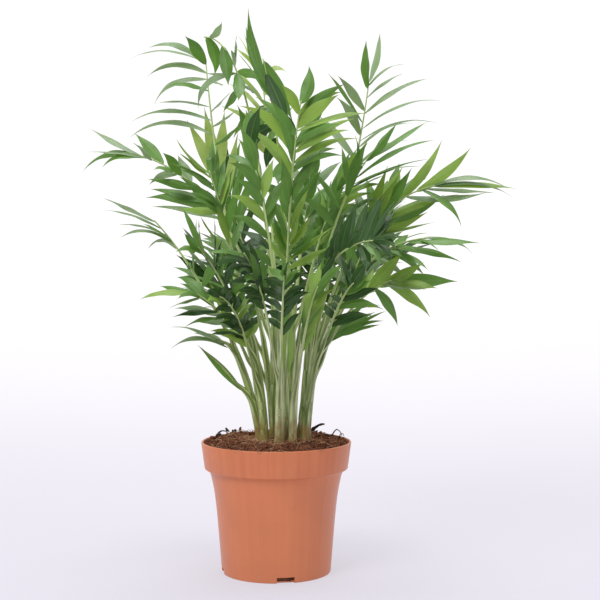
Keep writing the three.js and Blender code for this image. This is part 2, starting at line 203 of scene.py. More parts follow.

# Each frond: its stem and the height where it leaves it, its tip, how far it arches over (as a
# share of its length), its roll about the rib in degrees, its sort, and its two tones of green,
# which paint light and shade into the leaves unless they are mid.
FRONDS = {
    "left_1": (4, .184, (-.152, -.02, .334), .8, 38, "long", "mid", "grey"),
    "left_2": (1, .182, (-.142, -.044, .296), .98, 38, "long", "mid", "grey"),
    "left_3": (3, .16, (-.112, -.055, .216), .95, 30, "low", "mid", "bright"),
    "left_4": (1, .177, (-.086, -.024, .188), .5, 20, "low", "grey", "deep"),
    "left_5": (14, .168, (-.085, .095, .235), .75, 0, "low", "mid", "deep"),
    "right_1": (12, .184, (.19, -.02, .304), .82, -48, "long", "bright", "mid"),
    "right_2": (11, .18, (.163, -.058, .259), .79, -20, "long", "mid", "grey"),
    "right_3": (11, .174, (.142, -.064, .23), .8, -30, "broad", "bright", "mid"),
    "right_4": (12, .177, (.086, -.022, .204), .5, -20, "small", "mid", "grey"),
    "right_5": (10, .194, (.124, .01, .361), .85, -20, "long", "mid", "grey"),
    "right_6": (12, .17, (.14, .04, .252), .82, 0, "long", "mid", "deep"),
    "top_1": (7, .204, (-.022, -.006, .447), .72, 0, "spear", "mid", "deep"),
    "top_2": (2, .188, (-.062, .088, .446), .52, 0, "arching", "grey", "mid"),
    "top_3": (9, .186, (.082, .078, .447), .8, 0, "arching", "grey", "mid"),
    "top_4": (4, .198, (-.066, .02, .427), 1.07, 0, "broad", "mid", "grey"),
    "top_5": (6, .192, (.025, -.074, .394), .8, 0, "front", "bright", "mid"),
    "top_6": (5, .192, (-.012, .095, .43), .8, 0, "long", "pale", "mid"),
    "top_7": (10, .165, (.048, .05, .341), .8, 0, "long", "mid", "bright"),
    "top_8": (7, .19, (.074, .024, .342), .85, 0, "long", "mid", "bright"),
    "top_9": (7, .176, (.044, .11, .352), .85, 0, "long", "mid", "grey"),
    "top_10": (2, .168, (-.048, .1, .354), .85, 0, "long", "pale", "mid"),
    "front_1": (13, .168, (-.03, -.062, .362), .75, 0, "front", "mid", "bright"),
    "front_2": (3, .178, (-.064, -.06, .35), .8, 0, "long", "mid", "bright"),
    "front_3": (3, .171, (-.078, -.1, .27), .85, 0, "long", "deep", "mid"),
    "front_4": (13, .156, (-.04, -.11, .264), 1.05, 0, "long", "deep", "mid"),
    "front_5": (8, .172, (.088, -.118, .262), .85, 0, "long", "deep", "mid"),
    "front_6": (13, .142, (.006, -.145, .244), .82, 0, "low", "deep", "mid"),
    "front_7": (8, .144, (.038, -.138, .238), .82, 0, "low", "bright", "mid"),
    "front_8": (11, .17, (.064, -.112, .234), .8, 0, "low", "deep", "mid"),
    "front_9": (3, .146, (-.048, -.108, .222), .85, 0, "low", "deep", "bright"),
    "back_1": (14, .178, (-.062, .14, .335), .85, 0, "long", "mid", "deep"),
    "back_2": (15, .18, (.04, .15, .318), .85, 0, "long", "mid", "bright"),
    "back_3": (12, .154, (.13, .082, .325), .82, 0, "long", "mid", "grey"),
    "back_4": (9, .17, (.1, .105, .3), .85, 0, "long", "mid", "deep"),
    "back_5": (2, .15, (-.045, .132, .262), .85, 0, "low", "mid", "deep"),
    "back_6": (14, .158, (-.024, .155, .266), .85, 0, "long", "deep", "mid"),
    "back_7": (15, .16, (.06, .148, .268), .85, 0, "long", "deep", "mid"),
    "back_8": (9, .15, (.092, .098, .218), .85, 0, "low", "deep", "mid"),
    "back_9": (14, .144, (-.078, .112, .214), .85, 0, "low", "deep", "mid"),
    "back_10": (15, .142, (.014, .15, .218), .85, 0, "low", "deep", "mid"),
    "young_1": (1, .14, (-.062, -.016, .183), .32, 45, "strap", "mid", "mid"),
    "young_2": (6, .15, (.01, -.042, .215), .4, 0, "strap", "bright", "bright"),
}
SECOND_TONE_SHARE = 0.25
# The shared tones are a painted sheen (grey) and painted shade (deep).
SHARED_TONES = ("grey", "deep")
# The fronds that have a further leaflet between neighbours, each of them narrower.
FULL = SimpleNamespace(
    fronds=("top_7", "top_8", *(f"front_{number}" for number in range(2, 10))),
    width=0.8, shares=(0.3, 0.7), stray=0.005, turn_stray=25,
)

# Leaflets with a place of their own at the crown's edge and over its face, in order from the
# petiole out. Each is the share of the rib it grows from, its tip (x, z) as it lines up from the
# front on the upright plane through the pot's middle, how far it bows up off a straight line, its
# turn in degrees from facing the front to lying edge on, and its tone where that isn't left to
# chance: 0 and 1 for the frond's own two, 2 and 3 for the shared ones, which are a painted sheen
# on leaflets seen edge on and painted shade inside the crown.
LEAFLETS = {
    "top_2": (
        (.61, -.027, .359, -.001, 65), (.64, -.117, .346, .013, 60), (.67, -.029, .37, 0, 68),
        (.69, -.115, .359, .01, 62), (.72, -.036, .383, 0, 75), (.735, -.098, .373, .004, 72),
        (.79, -.087, .387, .004, 64), (.83, -.04, .388, 0, 65), (.83, -.0965, .373, .01, 56),
        (.85, -.103, .394, .01, 42), (.88, -.101, .4175, .009, 58), (.885, -.117, .408, .0095, 80),
        (.88, -.072, .427, .001, 12, 1),
    ),
    "top_4": (
        (.42, -.031, .331, .002, 20, 0), (.46, -.03, .346, .002, 25, 0), (.52, -.031, .373, .001, 25, 0),
        (.76, -.042, .367, .001, 45, 0), (.5, -.03, .358, .003, 40, 1), (.56, -.01, .356, .003, 40, 1),
        (.66, -.002, .366, .004, 40, 1), (.76, -.015, .381, .001, 60, 1), (.8, -.03, .376, .001, 0, 0),
        (.82, -.031, .429, .001, 72, 1), (.9, -.038, .388, .001, 0, 0), (.96, -.049, .396, .004, 0, 0),
        (.8, -.0618, .3687, .0108, 48, 1), (.8, -.056, .3975, 0, 72, 1), (.95, -.043, .438, -.002, 5, 1),
    ),
    "top_6": (
        (.7, -.026, .338, .004, 28, 3), (.8, -.034, .346, .004, 30, 1), (.76, -.017, .334, .004, 15, 1),
        (.895, -.0315, .378, .015, 15, 1), (.62, -.022, .351, .002, 30), (.66, .014, .372, .002, 30),
        (.71, -.044, .372, .002, 55), (.76, -.039, .39, .004, 65), (.8, -.043, .401, .006, 62),
        (.84, .009, .384, .004, 20), (.85, -.031, .414, .002, 75), (.88, -.036, .419, .005, 58),
        (.89, .008, .399, .006, 45), (.9, -.031, .429, .001, 78),
    ),
    "top_1": (
        (.4, -.012, .305, .002, 20), (.44, .014, .315, .002, 20, 1), (.5, .002, .31, .001, 20),
        (.58, -.008, .322, .002, 10, 1), (.62, -.018, .336, .006, 5, 1), (.66, .017, .346, .003, 5, 1),
        (.67, -.027, .348, .006, 5), (.71, -.022, .449, -.0035, 30, 0), (.735, -.026, .431, -.001, 76),
        (.74, -.024, .435, -.002, 50, 0), (.79, .01, .355, .001, 20, 1), (.83, .013, .36, .001, 15, 0),
    ),
    "top_5": (
        (.64, -.006, .378, .005, 10, 1), (.7, .04, .372, .001, 30, 1), (.25, .044, .26, .001, 52, 0),
        (.26, -.011, .272, .001, 56, 0), (.28, .047, .277, .001, 54, 0), (.28, -.006, .284, .001, 55, 0),
        (.3, .037, .278, 0, 56, 1), (.31, -.003, .288, 0, 58, 1), (.32, .029, .286, 0, 54, 0),
        (.33, .003, .296, 0, 55, 0), (.34, .02, .293, 0, 52, 0), (.36, -.004, .303, 0, 50, 1),
        (.4, .026, .307, 0, 48, 0), (.43, .004, .315, 0, 44, 1), (.48, .004, .331, .001, 20, 1),
        (.46, .036, .322, -.001, 10, 1), (.5, .03, .333, .001, 20, 1), (.54, 0, .346, .002, 12),
        (.56, .036, .338, -.002, 15), (.6, -.021, .354, .003, 10), (.61, .055, .332, .006, 62, 1),
        (.62, .048, .338, .005, 45, 1), (.64, .066, .346, .006, 48, 0), (.67, -.029, .372, .008, 4),
        (.68, .059, .353, .004, 44, 0), (.7, .062, .362, .003, 50), (.72, .051, .358, .003, 40, 1),
        (.74, -.016, .379, .003, 8), (.76, .073, .366, .004, 60), (.81, .052, .383, .004, 5),
        (.82, .004, .389, .002, 8), (.8, .055, .3895, .003, 0), (.77, .05, .381, .002, 0),
        (.86, .026, .404, -.003, 0),
    ),
    "top_3": (
        (.55, .105, .345, .006, 70), (.58, .033, .365, .002, 45), (.62, .111, .358, .007, 72),
        (.64, .133, .357, .01, 76), (.66, .048, .379, .003, 20), (.68, .134, .376, .009, 74),
        (.7, .04, .399, .002, 68), (.73, .123, .394, .006, 60), (.74, .049, .396, .001, 22),
        (.78, .102, .398, .003, 72), (.81, .0715, .424, -.001, 34), (.83, .0825, .43, -.001, 62),
        (.82, .103, .405, .005, 70),
    ),
    "right_5": (
        (.4, .02, .3, .003, 40), (.44, .085, .3, .003, 60), (.47, .027, .322, .002, 55),
        (.53, .089, .318, .002, 78), (.52, .073, .345, .002, 35, 0), (.55, .052, .34, .001, 60, 0),
        (.57, .119, .324, .005, 80), (.56, .122, .33, .004, 75), (.64, .062, .35, .002, 66, 0),
        (.6, .126, .345, .006, 74), (.68, .096, .358, 0, 58), (.69, .121, .36, .001, 62, 0),
    ),
    "right_1": (
        (.32, .072, .29, 0, 20), (.34, .105, .269, .002, 65), (.36, .082, .304, 0, 15),
        (.38, .133, .281, .001, 72), (.39, .089, .325, 0, 40), (.4, .121, .288, -.002, 15),
        (.44, .146, .302, .004, 30), (.46, .134, .302, -.004, 10), (.42, .097, .316, 0, 20),
        (.45, .101, .324, .001, 6), (.47, .108, .323, -.001, 8, 1), (.57, .132, .345, -.003, 20),
        (.64, .155, .339, -.003, 12), (.6, .17, .304, -.003, 44, 2), (.66, .148, .276, .006, 56, 1),
        (.67, .175, .303, .001, 64, 2), (.69, .186, .306, .009, 66, 2), (.7, .19, .299, .008, 68, 2),
        (.7, .194, .306, .003, 56),
    ),
    "right_2": (
        (.36, .056, .286, 0, 12), (.4, .072, .232, .002, 40), (.43, .08, .28, 0, 10),
        (.48, .103, .236, .003, 55), (.5, .102, .273, .002, 60), (.54, .119, .236, .004, 58),
        (.55, .122, .241, .003, 60), (.58, .106, .27, .001, 60), (.6, .114, .254, .002, 70),
        (.57, .148, .248, .003, 60, 0), (.7, .131, .256, .001, 72), (.72, .158, .253, .006, 72),
        (.64, .164, .263, .0015, 66, 0),
    ),
    "right_3": (
        (.55, .12, .226, .001, 72, 2), (.34, .06, .25, 0, 35), (.38, .086, .21, .001, 60),
        (.41, .078, .243, 0, 30), (.45, .102, .256, .001, 4), (.5, .097, .197, .003, 34),
        (.52, .118, .248, -.001, 30), (.57, .123, .204, .004, 34), (.59, .129, .227, .001, 55),
        (.58, .145, .2325, .001, 4, 1),
    ),
    "right_4": (
        (.04, .074, .216, .003, 30), (.07, .088, .209, .002, 66), (.1, .079, .208, .002, 8),
        (.14, .086, .201, .004, 66), (.16, .085, .198, .002, 74),
    ),
    "left_1": (
        (.45, -.099, .292, .003, 62), (.48, -.104, .299, .005, 18), (.5, -.077, .316, .002, 45),
        (.52, -.1, .306, .002, 40), (.58, -.102, .314, .001, 25), (.61, -.078, .333, 0, 8),
        (.65, -.09, .335, .001, 22), (.66, -.101, .309, .004, 35), (.68, -.098, .321, .002, 50),
        (.72, -.112, .35, .001, 16), (.76, -.114, .343, .001, 65), (.77, -.136, .331, .002, 76, 2),
        (.78, -.154, .335, .002, 82, 2), (.79, -.148, .354, 0, 68, 1), (.79, -.138, .323, .006, 62),
        (.8, -.154, .319, .009, 52),
    ),
    "left_2": (
        (.3, -.04, .258, .002, 25), (.37, -.063, .285, .001, 83, 2), (.4, -.068, .246, .001, 58),
        (.5, -.103, .257, .009, 70, 2), (.53, -.126, .266, .009, 79, 2), (.58, -.128, .277, .004, 83, 2),
        (.62, -.14, .289, .004, 81, 2), (.66, -.1376, .299, .001, 74, 2), (.55, -.108, .279, .002, 82, 0),
    ),
    "left_3": (
        (.28, -.054, .232, .002, 20), (.34, -.066, .2, .003, 50, 2), (.37, -.073, .196, .004, 62, 0),
        (.4, -.081, .211, .003, 58, 2), (.44, -.083, .204, .002, 62, 3), (.48, -.077, .231, .003, 12),
        (.57, -.086, .211, .001, 74, 2), (.54, -.079, .236, .004, 35), (.58, -.079, .218, .003, 58),
        (.6, -.093, .229, .001, 56), (.61, -.109, .218, .004, 70),
    ),
    "left_4": (
        (.08, -.085, .178, .009, 74), (.14, -.066, .191, .003, 62), (.22, -.086, .196, .004, 80),
    ),
    "left_5": (
        (.4, -.046, .262, .002, 30), (.46, -.052, .236, .002, 55), (.52, -.062, .262, .002, 40),
        (.57, -.066, .23, .003, 60), (.62, -.074, .262, .001, 62, 2), (.66, -.079, .236, .003, 64),
        (.7, -.08, .254, .001, 25, 1), (.7, -.082, .244, .002, 60),
    ),
    "top_10": (
        (.44, -.028, .33, .002, 50, 1), (.66, -.03, .352, 0, 25, 0), (.76, -.071, .361, .001, 8, 0),
        (.78, -.057, .371, 0, 4, 0), (.8, -.041, .368, 0, 8, 0),
    ),
    "back_1": (
        (.46, -.05, .286, .002, 40), (.5, -.014, .3, .002, 30), (.54, -.05, .302, .002, 40),
        (.58, -.018, .318, .002, 30), (.62, -.05, .318, .002, 35), (.67, -.022, .334, .002, 30),
        (.71, -.05, .332, .002, 35), (.75, -.028, .345, .001, 40), (.79, -.054, .346, .001, 30),
        (.8, -.042, .35, .001, 20),
    ),
    "front_1": (
        (.4, -.024, .258, .003, 40, 0), (.46, -.031, .272, .004, 48, 3), (.5, -.036, .285, .004, 40, 0),
        (.54, 0, .304, .001, 15), (.56, -.039, .301, .005, 35, 1), (.58, .007, .315, .001, 8),
        (.61, -.034, .314, .004, 28, 0), (.64, -.002, .33, .001, 12, 1), (.66, -.038, .327, .005, 30),
        (.69, -.043, .333, .007, 45), (.74, -.029, .355, .002, 8), (.8, -.024, .369, .001, 10, 0),
        (.82, -.012, .372, .002, 8, 3),
    ),
    "top_7": (
        (.4, .052, .272, .003, 30), (.45, .028, .28, .002, 30), (.5, .055, .286, .003, 30),
        (.55, .03, .294, .002, 30), (.6, .055, .301, .003, 25), (.66, .032, .309, .001, 35),
        (.72, .049, .317, .001, 60), (.76, .055, .307, .002, 20),
    ),
    "top_8": (
        (.45, .059, .28, .002, 35), (.5, .036, .301, .002, 35), (.56, .068, .294, .004, 30),
        (.62, .044, .314, .001, 40), (.66, .086, .31, .005, 50, 1), (.72, .059, .336, .001, 12),
        (.75, .067, .338, .001, 20, 1), (.77, .073, .343, .001, 6),
    ),
    "front_2": (
        (.34, -.051, .245, .002, 60), (.4, -.055, .258, -.002, 70), (.44, -.061, .286, -.002, 80),
        (.46, -.023, .286, .002, 35), (.54, -.029, .306, .002, 30), (.62, -.078, .29, .001, 32, 1),
        (.61, -.069, .301, .002, 62), (.63, -.034, .322, .002, 25), (.66, -.075, .309, .003, 52),
        (.69, -.04, .331, .001, 30), (.74, -.083, .326, .002, 70), (.77, -.05, .346, .001, 45),
        (.79, -.08, .347, -.002, 66),
    ),
    "front_3": (
        (.34, -.02, .232, .002, 40), (.42, -.024, .243, .002, 40), (.5, -.029, .254, .002, 40),
        (.56, -.04, .258, .001, 50), (.62, -.043, .266, .001, 62), (.66, -.068, .249, .001, 74),
        (.68, -.061, .286, -.003, 80, 2), (.74, -.075, .292, .001, 52, 1), (.78, -.08, .256, .002, 52),
    ),
    "front_4": (
        (.5, -.023, .218, .002, 40), (.56, -.012, .256, .001, 35, 1), (.58, -.032, .224, .003, 40),
        (.6, -.012, .221, .001, 50), (.64, -.023, .266, .002, 40), (.66, -.039, .23, .004, 45),
        (.7, -.024, .232, .002, 40), (.72, -.031, .267, .002, 45), (.76, -.043, .237, .004, 50),
        (.82, -.051, .244, .003, 60), (.84, -.056, .254, .003, 65),
    ),
    "front_5": (
        (.46, .05, .256, .001, 30), (.5, .033, .255, .002, 40), (.56, .046, .263, .002, 20),
        (.62, .055, .288, .002, 10), (.67, .063, .291, .002, 15), (.76, .075, .299, .001, 20),
        (.78, .071, .24, .003, 15), (.82, .086, .301, .001, 20), (.84, .092, .248, .004, 40),
        (.86, .095, .288, .002, 35), (.88, .1, .266, .003, 50),
    ),
    "front_6": (
        (.42, .02, .208, .002, 30), (.46, -.01, .203, .002, 40), (.54, .022, .219, .003, 35),
        (.58, -.011, .218, .003, 45), (.66, .025, .229, .003, 40), (.7, -.01, .232, .003, 40),
        (.78, .02, .242, .002, 45), (.82, -.007, .243, .002, 40), (.86, .008, .253, .001, 60),
    ),
    "front_7": (
        (.28, .033, .203, .001, 20), (.32, .024, .208, .001, 45, 1), (.38, .04, .215, .001, 25),
        (.44, .026, .227, .001, 40, 1), (.5, .043, .227, .001, 25), (.56, .032, .237, .001, 30),
        (.62, .047, .237, .002, 35, 1), (.68, .036, .248, .001, 45), (.74, .054, .245, .002, 45, 1),
    ),
    "front_8": (
        (.3, .076, .206, .002, 25), (.36, .036, .213, .002, 30), (.46, .081, .213, .003, 20),
        (.5, .043, .221, .002, 40), (.6, .076, .234, 0, 25, 1), (.64, .049, .243, .005, 15, 1),
        (.7, .073, .248, 0, 20), (.74, .06, .253, .001, 40),
    ),
    "front_9": (
        (.34, -.045, .189, .003, 45), (.38, -.053, .193, .003, 40), (.47, -.058, .2, .003, 48, 2),
        (.4, -.012, .2, .001, 30, 1), (.44, -.036, .194, .002, 30), (.5, -.018, .213, .001, 25),
        (.54, -.043, .2, .003, 25), (.6, -.021, .219, .002, 30, 1), (.64, -.05, .208, .003, 30),
        (.7, -.031, .226, .002, 25), (.76, -.056, .216, .003, 35), (.8, -.04, .231, .001, 35),
        (.84, -.055, .226, .001, 30),
    ),
    "top_9": (
        (.6, .034, .322, .001, 30, 0), (.66, .052, .328, .002, 40, 1), (.68, .036, .339, .001, 45, 0),
        (.38, .045, .29, .003, 20), (.42, .006, .285, .003, 25), (.47, .05, .302, .003, 30, 1),
        (.5, .004, .3, .002, 30), (.54, .052, .312, .003, 40), (.57, .002, .314, .002, 35),
        (.62, .01, .33, .001, 35, 1), (.64, .02, .334, .001, 55),
    ),
}

# ---------------------------------------------------------------- vectors and colours

UP = np.array((0.0, 0.0, 1.0))
DEPTH = np.array((0.0, 1.0, 0.0))
# A direction is steep from here on, as the share of it that goes up.
STEEP = 0.8


def unit(vector):
    """The same direction at length one, for one vector or rows of them."""
    return vector / np.linalg.norm(vector, axis=-1, keepdims=True)


def between(low, high, share):
    return low + (high - low) * share


def ease(share):
    """Runs from 0 to 1 with a soft start and end."""
    share = np.clip(share, 0.0, 1.0)
    return share * share * (3 - 2 * share)


def curve(start, middle, end, share):
    """The place at a share of a curve that sets out for its middle point and bends to its end."""
    return (1 - share) ** 2 * start + 2 * (1 - share) * share * middle + share**2 * end


def curve_heading(start, middle, end, share):
    return unit((1 - share) * (middle - start) + share * (end - middle))


def scaled(colour, *gains):
    """A colour made darker or lighter by one gain, or by one each for red, green and blue."""
    gains = gains * 3 if len(gains) == 1 else gains
    return (*(min(1.0, value * gain) for value, gain in zip(colour, gains)), 1.0)


def blended(first, second, share):
    return tuple(between(a, b, share) for a, b in zip(first, second))


# ---------------------------------------------------------------- shapes


class Shape:
    """Grids of points gathered into one mesh, with UVs and a finish number for each face."""

    def __init__(self):
        self.points = []
        self.faces = []
        self.uvs = []
        self.finishes = []
        self.count = 0

    def add_grid(self, grid, finish=0, ring=False, capped=False):
        """Adds rows of points. A ring joins each row's end to its start. Caps close the end rows."""
        rows, columns = grid.shape[:2]
        spans = columns if ring else columns - 1
        places = np.meshgrid(np.arange(rows - 1), np.arange(spans), indexing="ij")
        row, column = (axis.ravel() for axis in places)
        corners = ((0, 0), (0, 1), (1, 1), (1, 0))
        faces = [(row + r) * columns + (column + c) % columns for r, c in corners]
        uvs = [np.stack(((column + c) / spans, (row + r) / (rows - 1)), axis=-1) for r, c in corners]
        self.faces += (np.stack(faces, axis=1) + self.count).tolist()
        self.uvs.append(np.stack(uvs, axis=1).reshape(-1, 2))
        self.finishes += [finish] * len(row)
        if capped:
            ends = (range(columns - 1, -1, -1), range((rows - 1) * columns, rows * columns))
            for end in ends:
                self.faces.append([self.count + corner for corner in end])
                self.uvs.append(np.full((columns, 2), 0.5))
                self.finishes.append(finish)
        self.points.append(grid.reshape(-1, 3))
        self.count += rows * columns

    def add_solid(self, points, faces, finish=0):
        """Adds a small body with no pattern of its own."""
        self.faces += [[self.count + corner for corner in face] for face in faces]
        self.uvs.append(np.full((sum(len(face) for face in faces), 2), 0.5))
        self.finishes += [finish] * len(faces)
        self.points.append(points)
        self.count += len(points)

    def build(self, name, finishes):
        mesh = bpy.data.meshes.new(name)
        mesh.from_pydata(np.concatenate(self.points).tolist(), [], self.faces)
        mesh.uv_layers.new(name="UVMap").data.foreach_set("uv", np.concatenate(self.uvs).ravel())
        for finish in finishes:
            mesh.materials.append(finish)
        mesh.polygons.foreach_set("material_index", self.finishes)
        mesh.polygons.foreach_set("use_smooth", [True] * len(self.faces))
        mesh.update()
        piece = bpy.data.objects.new(name, mesh)
        bpy.context.scene.collection.objects.link(piece)
        return piece


def settle(piece, slot, *nodes):
    """Rides the piece on the plant's body, and lets it stand for its nodes by hiding them."""
    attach(piece, BODY)
    if nodes:
        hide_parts(*nodes)


def axes_along(path):
    """Unit vectors along a path and across it twice, carried along without a twist."""
    along = unit(np.gradient(path, axis=0))
    guide = UP if abs(along[0][2]) < STEEP else DEPTH
    across = [unit(np.cross(guide, along[0]))]
    for direction in along[1:]:
        across.append(unit(across[-1] - direction * across[-1].dot(direction)))
    across = np.array(across)
    return along, across, np.cross(along, across)


def tube_grid(path, radii, sides):
    """Rings round a path. The radii are one for each ring, or one for each point of each ring."""
    _, across, above = axes_along(path)
    angle = np.arange(sides) * math.tau / sides
    spokes = np.cos(angle)[None, :, None] * across[:, None] + np.sin(angle)[None, :, None] * above[:, None]
    radii = np.asarray(radii)
    if radii.ndim == 1:
        radii = radii[:, None]
    return path[:, None] + spokes * radii[..., None]


def rounded(corners, steps=5):
    """A profile through (radius, z, rounding) corners, each rounded over that distance."""
    profile = []
    for i, (radius, z, rounding) in enumerate(corners):
        here = np.array((radius, z))
        if rounding == 0:
            profile.append(here)
            continue
        before = unit(np.array(corners[i - 1][:2]) - here) * rounding
        after = unit(np.array(corners[i + 1][:2]) - here) * rounding
        for share in np.linspace(0, 1, steps):
            profile.append(here + before * (1 - share) ** 2 + after * share**2)
    return profile


def turned_grid(profile, sides):
    """A profile of (radius, z) turned about the Z axis."""
    angle = np.arange(sides) * math.tau / sides
    profile = np.array(profile)
    radius = profile[:, :1]
    height = np.repeat(profile[:, 1:], sides, axis=1)
    return np.stack((radius * np.cos(angle), radius * np.sin(angle), height), axis=-1)


# ---------------------------------------------------------------- shader nodes


def node(tree, sort, inputs=(), **settings):
    """Adds a node with its settings. Each input is given a value or linked from a socket."""
    made = tree.nodes.new(sort)
    for name, value in settings.items():
        setattr(made, name, value)
    for name, value in dict(inputs).items():
        if isinstance(value, bpy.types.NodeSocket):
            tree.links.new(value, made.inputs[name])
        else:
            made.inputs[name].default_value = value
    return made


def join(source, target):
    source.id_data.links.new(source, target)


def calculate(operation, first, second=0.0):
    """A socket's value worked on with another value. The node goes in the first one's tree."""
    return node(first.id_data, "ShaderNodeMath", {0: first, 1: second}, operation=operation).outputs[0]


def times(first, second):
    return calculate("MULTIPLY", first, second)


def plus(first, second):
    return calculate("ADD", first, second)


def mix_colour(factor, first, second):
    """A colour between two others. Inputs 0, 6 and 7 are the colour mix's factor and its colours."""
    inputs = {0: factor, 6: first, 7: second}
    return node(factor.id_data, "ShaderNodeMix", inputs, data_type="RGBA").outputs[2]


def remap(value, low, high, to_low=0.0, to_high=1.0):
    inputs = {"Value": value, "From Min": low, "From Max": high, "To Min": to_low, "To Max": to_high}
    return node(value.id_data, "ShaderNodeMapRange", inputs, interpolation_type="SMOOTHSTEP").outputs[0]


def bump(height, distance, strength=1.0):
    inputs = {"Height": height, "Distance": distance, "Strength": strength}
    return node(height.id_data, "ShaderNodeBump", inputs).outputs[0]


def object_place(tree):
    return node(tree, "ShaderNodeTexCoord").outputs["Object"]


def axes(vector):
    return node(vector.id_data, "ShaderNodeSeparateXYZ", {0: vector}).outputs


def height_on_plant(tree):
    """How high a place is above the pot's underside."""
    return axes(object_place(tree))["Z"]


def across_and_along(tree):
    """How far a place is across or round its piece, and how far along it, from its UVs."""
    uv = axes(node(tree, "ShaderNodeUVMap").outputs[0])
    return uv[0], uv[1]


def clouds(place, scale, detail):
    inputs = {"Vector": place, "Scale": scale, "Detail": detail}
    return node(place.id_data, "ShaderNodeTexNoise", inputs).outputs["Fac"]


def new_group(name, inputs, outputs):
    """A node group with its sockets, and its two end nodes. A value of four numbers is a colour."""
    tree = bpy.data.node_groups.new(name, "ShaderNodeTree")
    for label, value in inputs.items():
        sort = "NodeSocketColor" if isinstance(value, tuple) else "NodeSocketFloat"
        tree.interface.new_socket(label, in_out="INPUT", socket_type=sort).default_value = value
    for label in outputs:
        sort = "NodeSocketColor" if label == "Colour" else "NodeSocketFloat"
        tree.interface.new_socket(label, in_out="OUTPUT", socket_type=sort)
    return tree, tree.nodes.new("NodeGroupInput").outputs, tree.nodes.new("NodeGroupOutput").inputs


def use_group(tree, name, make, inputs):
    """The outputs of the named group, made on its first use and placed in a tree with its inputs filled."""
    group = bpy.data.node_groups.get(name) or make(name)
    return node(tree, "ShaderNodeGroup", inputs, node_tree=group).outputs


def make_mottle(name):
    """Soft patches of a second colour, with a finer break-up inside them."""
    grey = (0.5, 0.5, 0.5, 1.0)
    inputs = {"Colour": grey, "Patch Colour": grey, "Scale": 80.0, "Amount": 0.5}
    tree, given, result = new_group(name, inputs, ("Colour", "Mask"))
    mask = remap(clouds(object_place(tree), given["Scale"], detail=4.0), 0.35, 0.65)
    join(mix_colour(times(mask, given["Amount"]), given["Colour"], given["Patch Colour"]), result["Colour"])
    join(mask, result["Mask"])
    return tree


def make_streaks(name):
    """Fine lines that run the length of a stalk, a leaf or a wall, from its UVs."""
    inputs = {"Lines": 40.0, "Length": 2.0, "Contrast": 0.3}
    tree, given, result = new_group(name, inputs, ("Mask",))
    across, along = across_and_along(tree)
    stretched = {"X": times(across, given["Lines"]), "Y": times(along, given["Length"])}
    lines = clouds(node(tree, "ShaderNodeCombineXYZ", stretched).outputs[0], scale=1.0, detail=3.0)
    low = plus(times(given["Contrast"], -1.0), 0.5)
    join(remap(lines, low, plus(given["Contrast"], 0.5)), result["Mask"])
    return tree


def make_grain(name):
    """The height of a fine skin texture."""
    tree, given, result = new_group(name, {"Scale": 900.0}, ("Height",))
    join(clouds(object_place(tree), given["Scale"], detail=2.0), result["Height"])
    return tree


def mottled(tree, colour, patch_colour, scale, amount):
    """The Mottle group placed in a material with its own values."""
    inputs = {"Colour": colour, "Patch Colour": patch_colour, "Scale": scale, "Amount": amount}
    return use_group(tree, "Mottle", make_mottle, inputs)


def streaked(tree, lines, length, contrast):
    inputs = {"Lines": lines, "Length": length, "Contrast": contrast}
    return use_group(tree, "Streaks", make_streaks, inputs)["Mask"]


def grained(tree, scale):
    return use_group(tree, "Fine grain", make_grain, {"Scale": scale})["Height"]


def new_finish(name, roughness, specular=0.5):
    """A material with its tree and its Principled shader."""
    finish = bpy.data.materials.new(name)
    finish.use_nodes = True
    tree = finish.node_tree
    shader = tree.nodes["Principled BSDF"]
    shader.inputs["Roughness"].default_value = roughness
    shader.inputs["Specular IOR Level"].default_value = specular
    return finish, tree, shader


# ---------------------------------------------------------------- pot


def wall_radius(z):
    """Outside radius of the pot's wall below its band."""
    return POT.base_radius + POT.wall_slope * z + POT.wall_flare * (z / POT.wall_top_z) ** POT.flare_power


def wall_line(low, inset):
    heights = np.linspace(low, POT.wall_top_z, POT.wall_steps)
    return [(wall_radius(z) - inset, z, 0) for z in heights]


def pot_profile(size):
    """The pot's section: underside, wall, band, lip, and back down the inside."""
    inset = size.wall_thickness
    lip_z = size.height - POT.lip_radius
    lip_centre = size.rim_radius - POT.lip_radius
    lip = []
    for angle in np.linspace(0, math.pi, POT.lip_steps):
        out, up = POT.lip_radius * math.cos(angle), POT.lip_radius * math.sin(angle)
        lip.append((lip_centre + out, lip_z + up, 0))
    outside = [
        (POT.recess_radius, POT.recess_depth, 0),
        (POT.recess_radius + POT.recess_depth, 0.0, 0),
        (POT.base_radius, 0.0, POT.base_round),
        *wall_line(2 * POT.base_round, 0)[:-1],
        (wall_radius(POT.wall_top_z), POT.wall_top_z, POT.wall_top_round),
        (POT.band_foot_radius, POT.band_foot_z, POT.band_round),
    ]
    inside = [
        (POT.band_foot_radius - inset, POT.band_foot_z + inset, POT.inner_round),
        *wall_line(2 * POT.floor_z, inset)[::-1],
        (wall_radius(POT.floor_z) - inset, POT.floor_z, 0),
        (POT.recess_radius, POT.floor_z, 0),
    ]
    return rounded([*outside, *lip, *inside])


def notch_axes():
    """The outward and sideways directions of each drain notch."""
    turns = DRAIN.turn + np.arange(DRAIN.count) * math.tau / DRAIN.count
    rounds = [(math.cos(turn), math.sin(turn)) for turn in turns]
    return np.array([((sine, -cosine, 0.0), (cosine, sine, 0.0)) for cosine, sine in rounds])


def drain_cutter():
    """Four boxes that cut the notches where wall and base meet."""
    shape = Shape()
    half = DRAIN.width / 2
    top = DRAIN.height
    for outward, aside in notch_axes():
        rings = []
        for reach in (DRAIN.inner, DRAIN.outer):
            corners = ((-half, -top), (half, -top), (half, top), (-half, top))
            rings.append([outward * reach + aside * a + UP * z for a, z in corners])
        shape.add_grid(np.array(rings), ring=True, capped=True)
    return shape.build("drain_cutter", [])


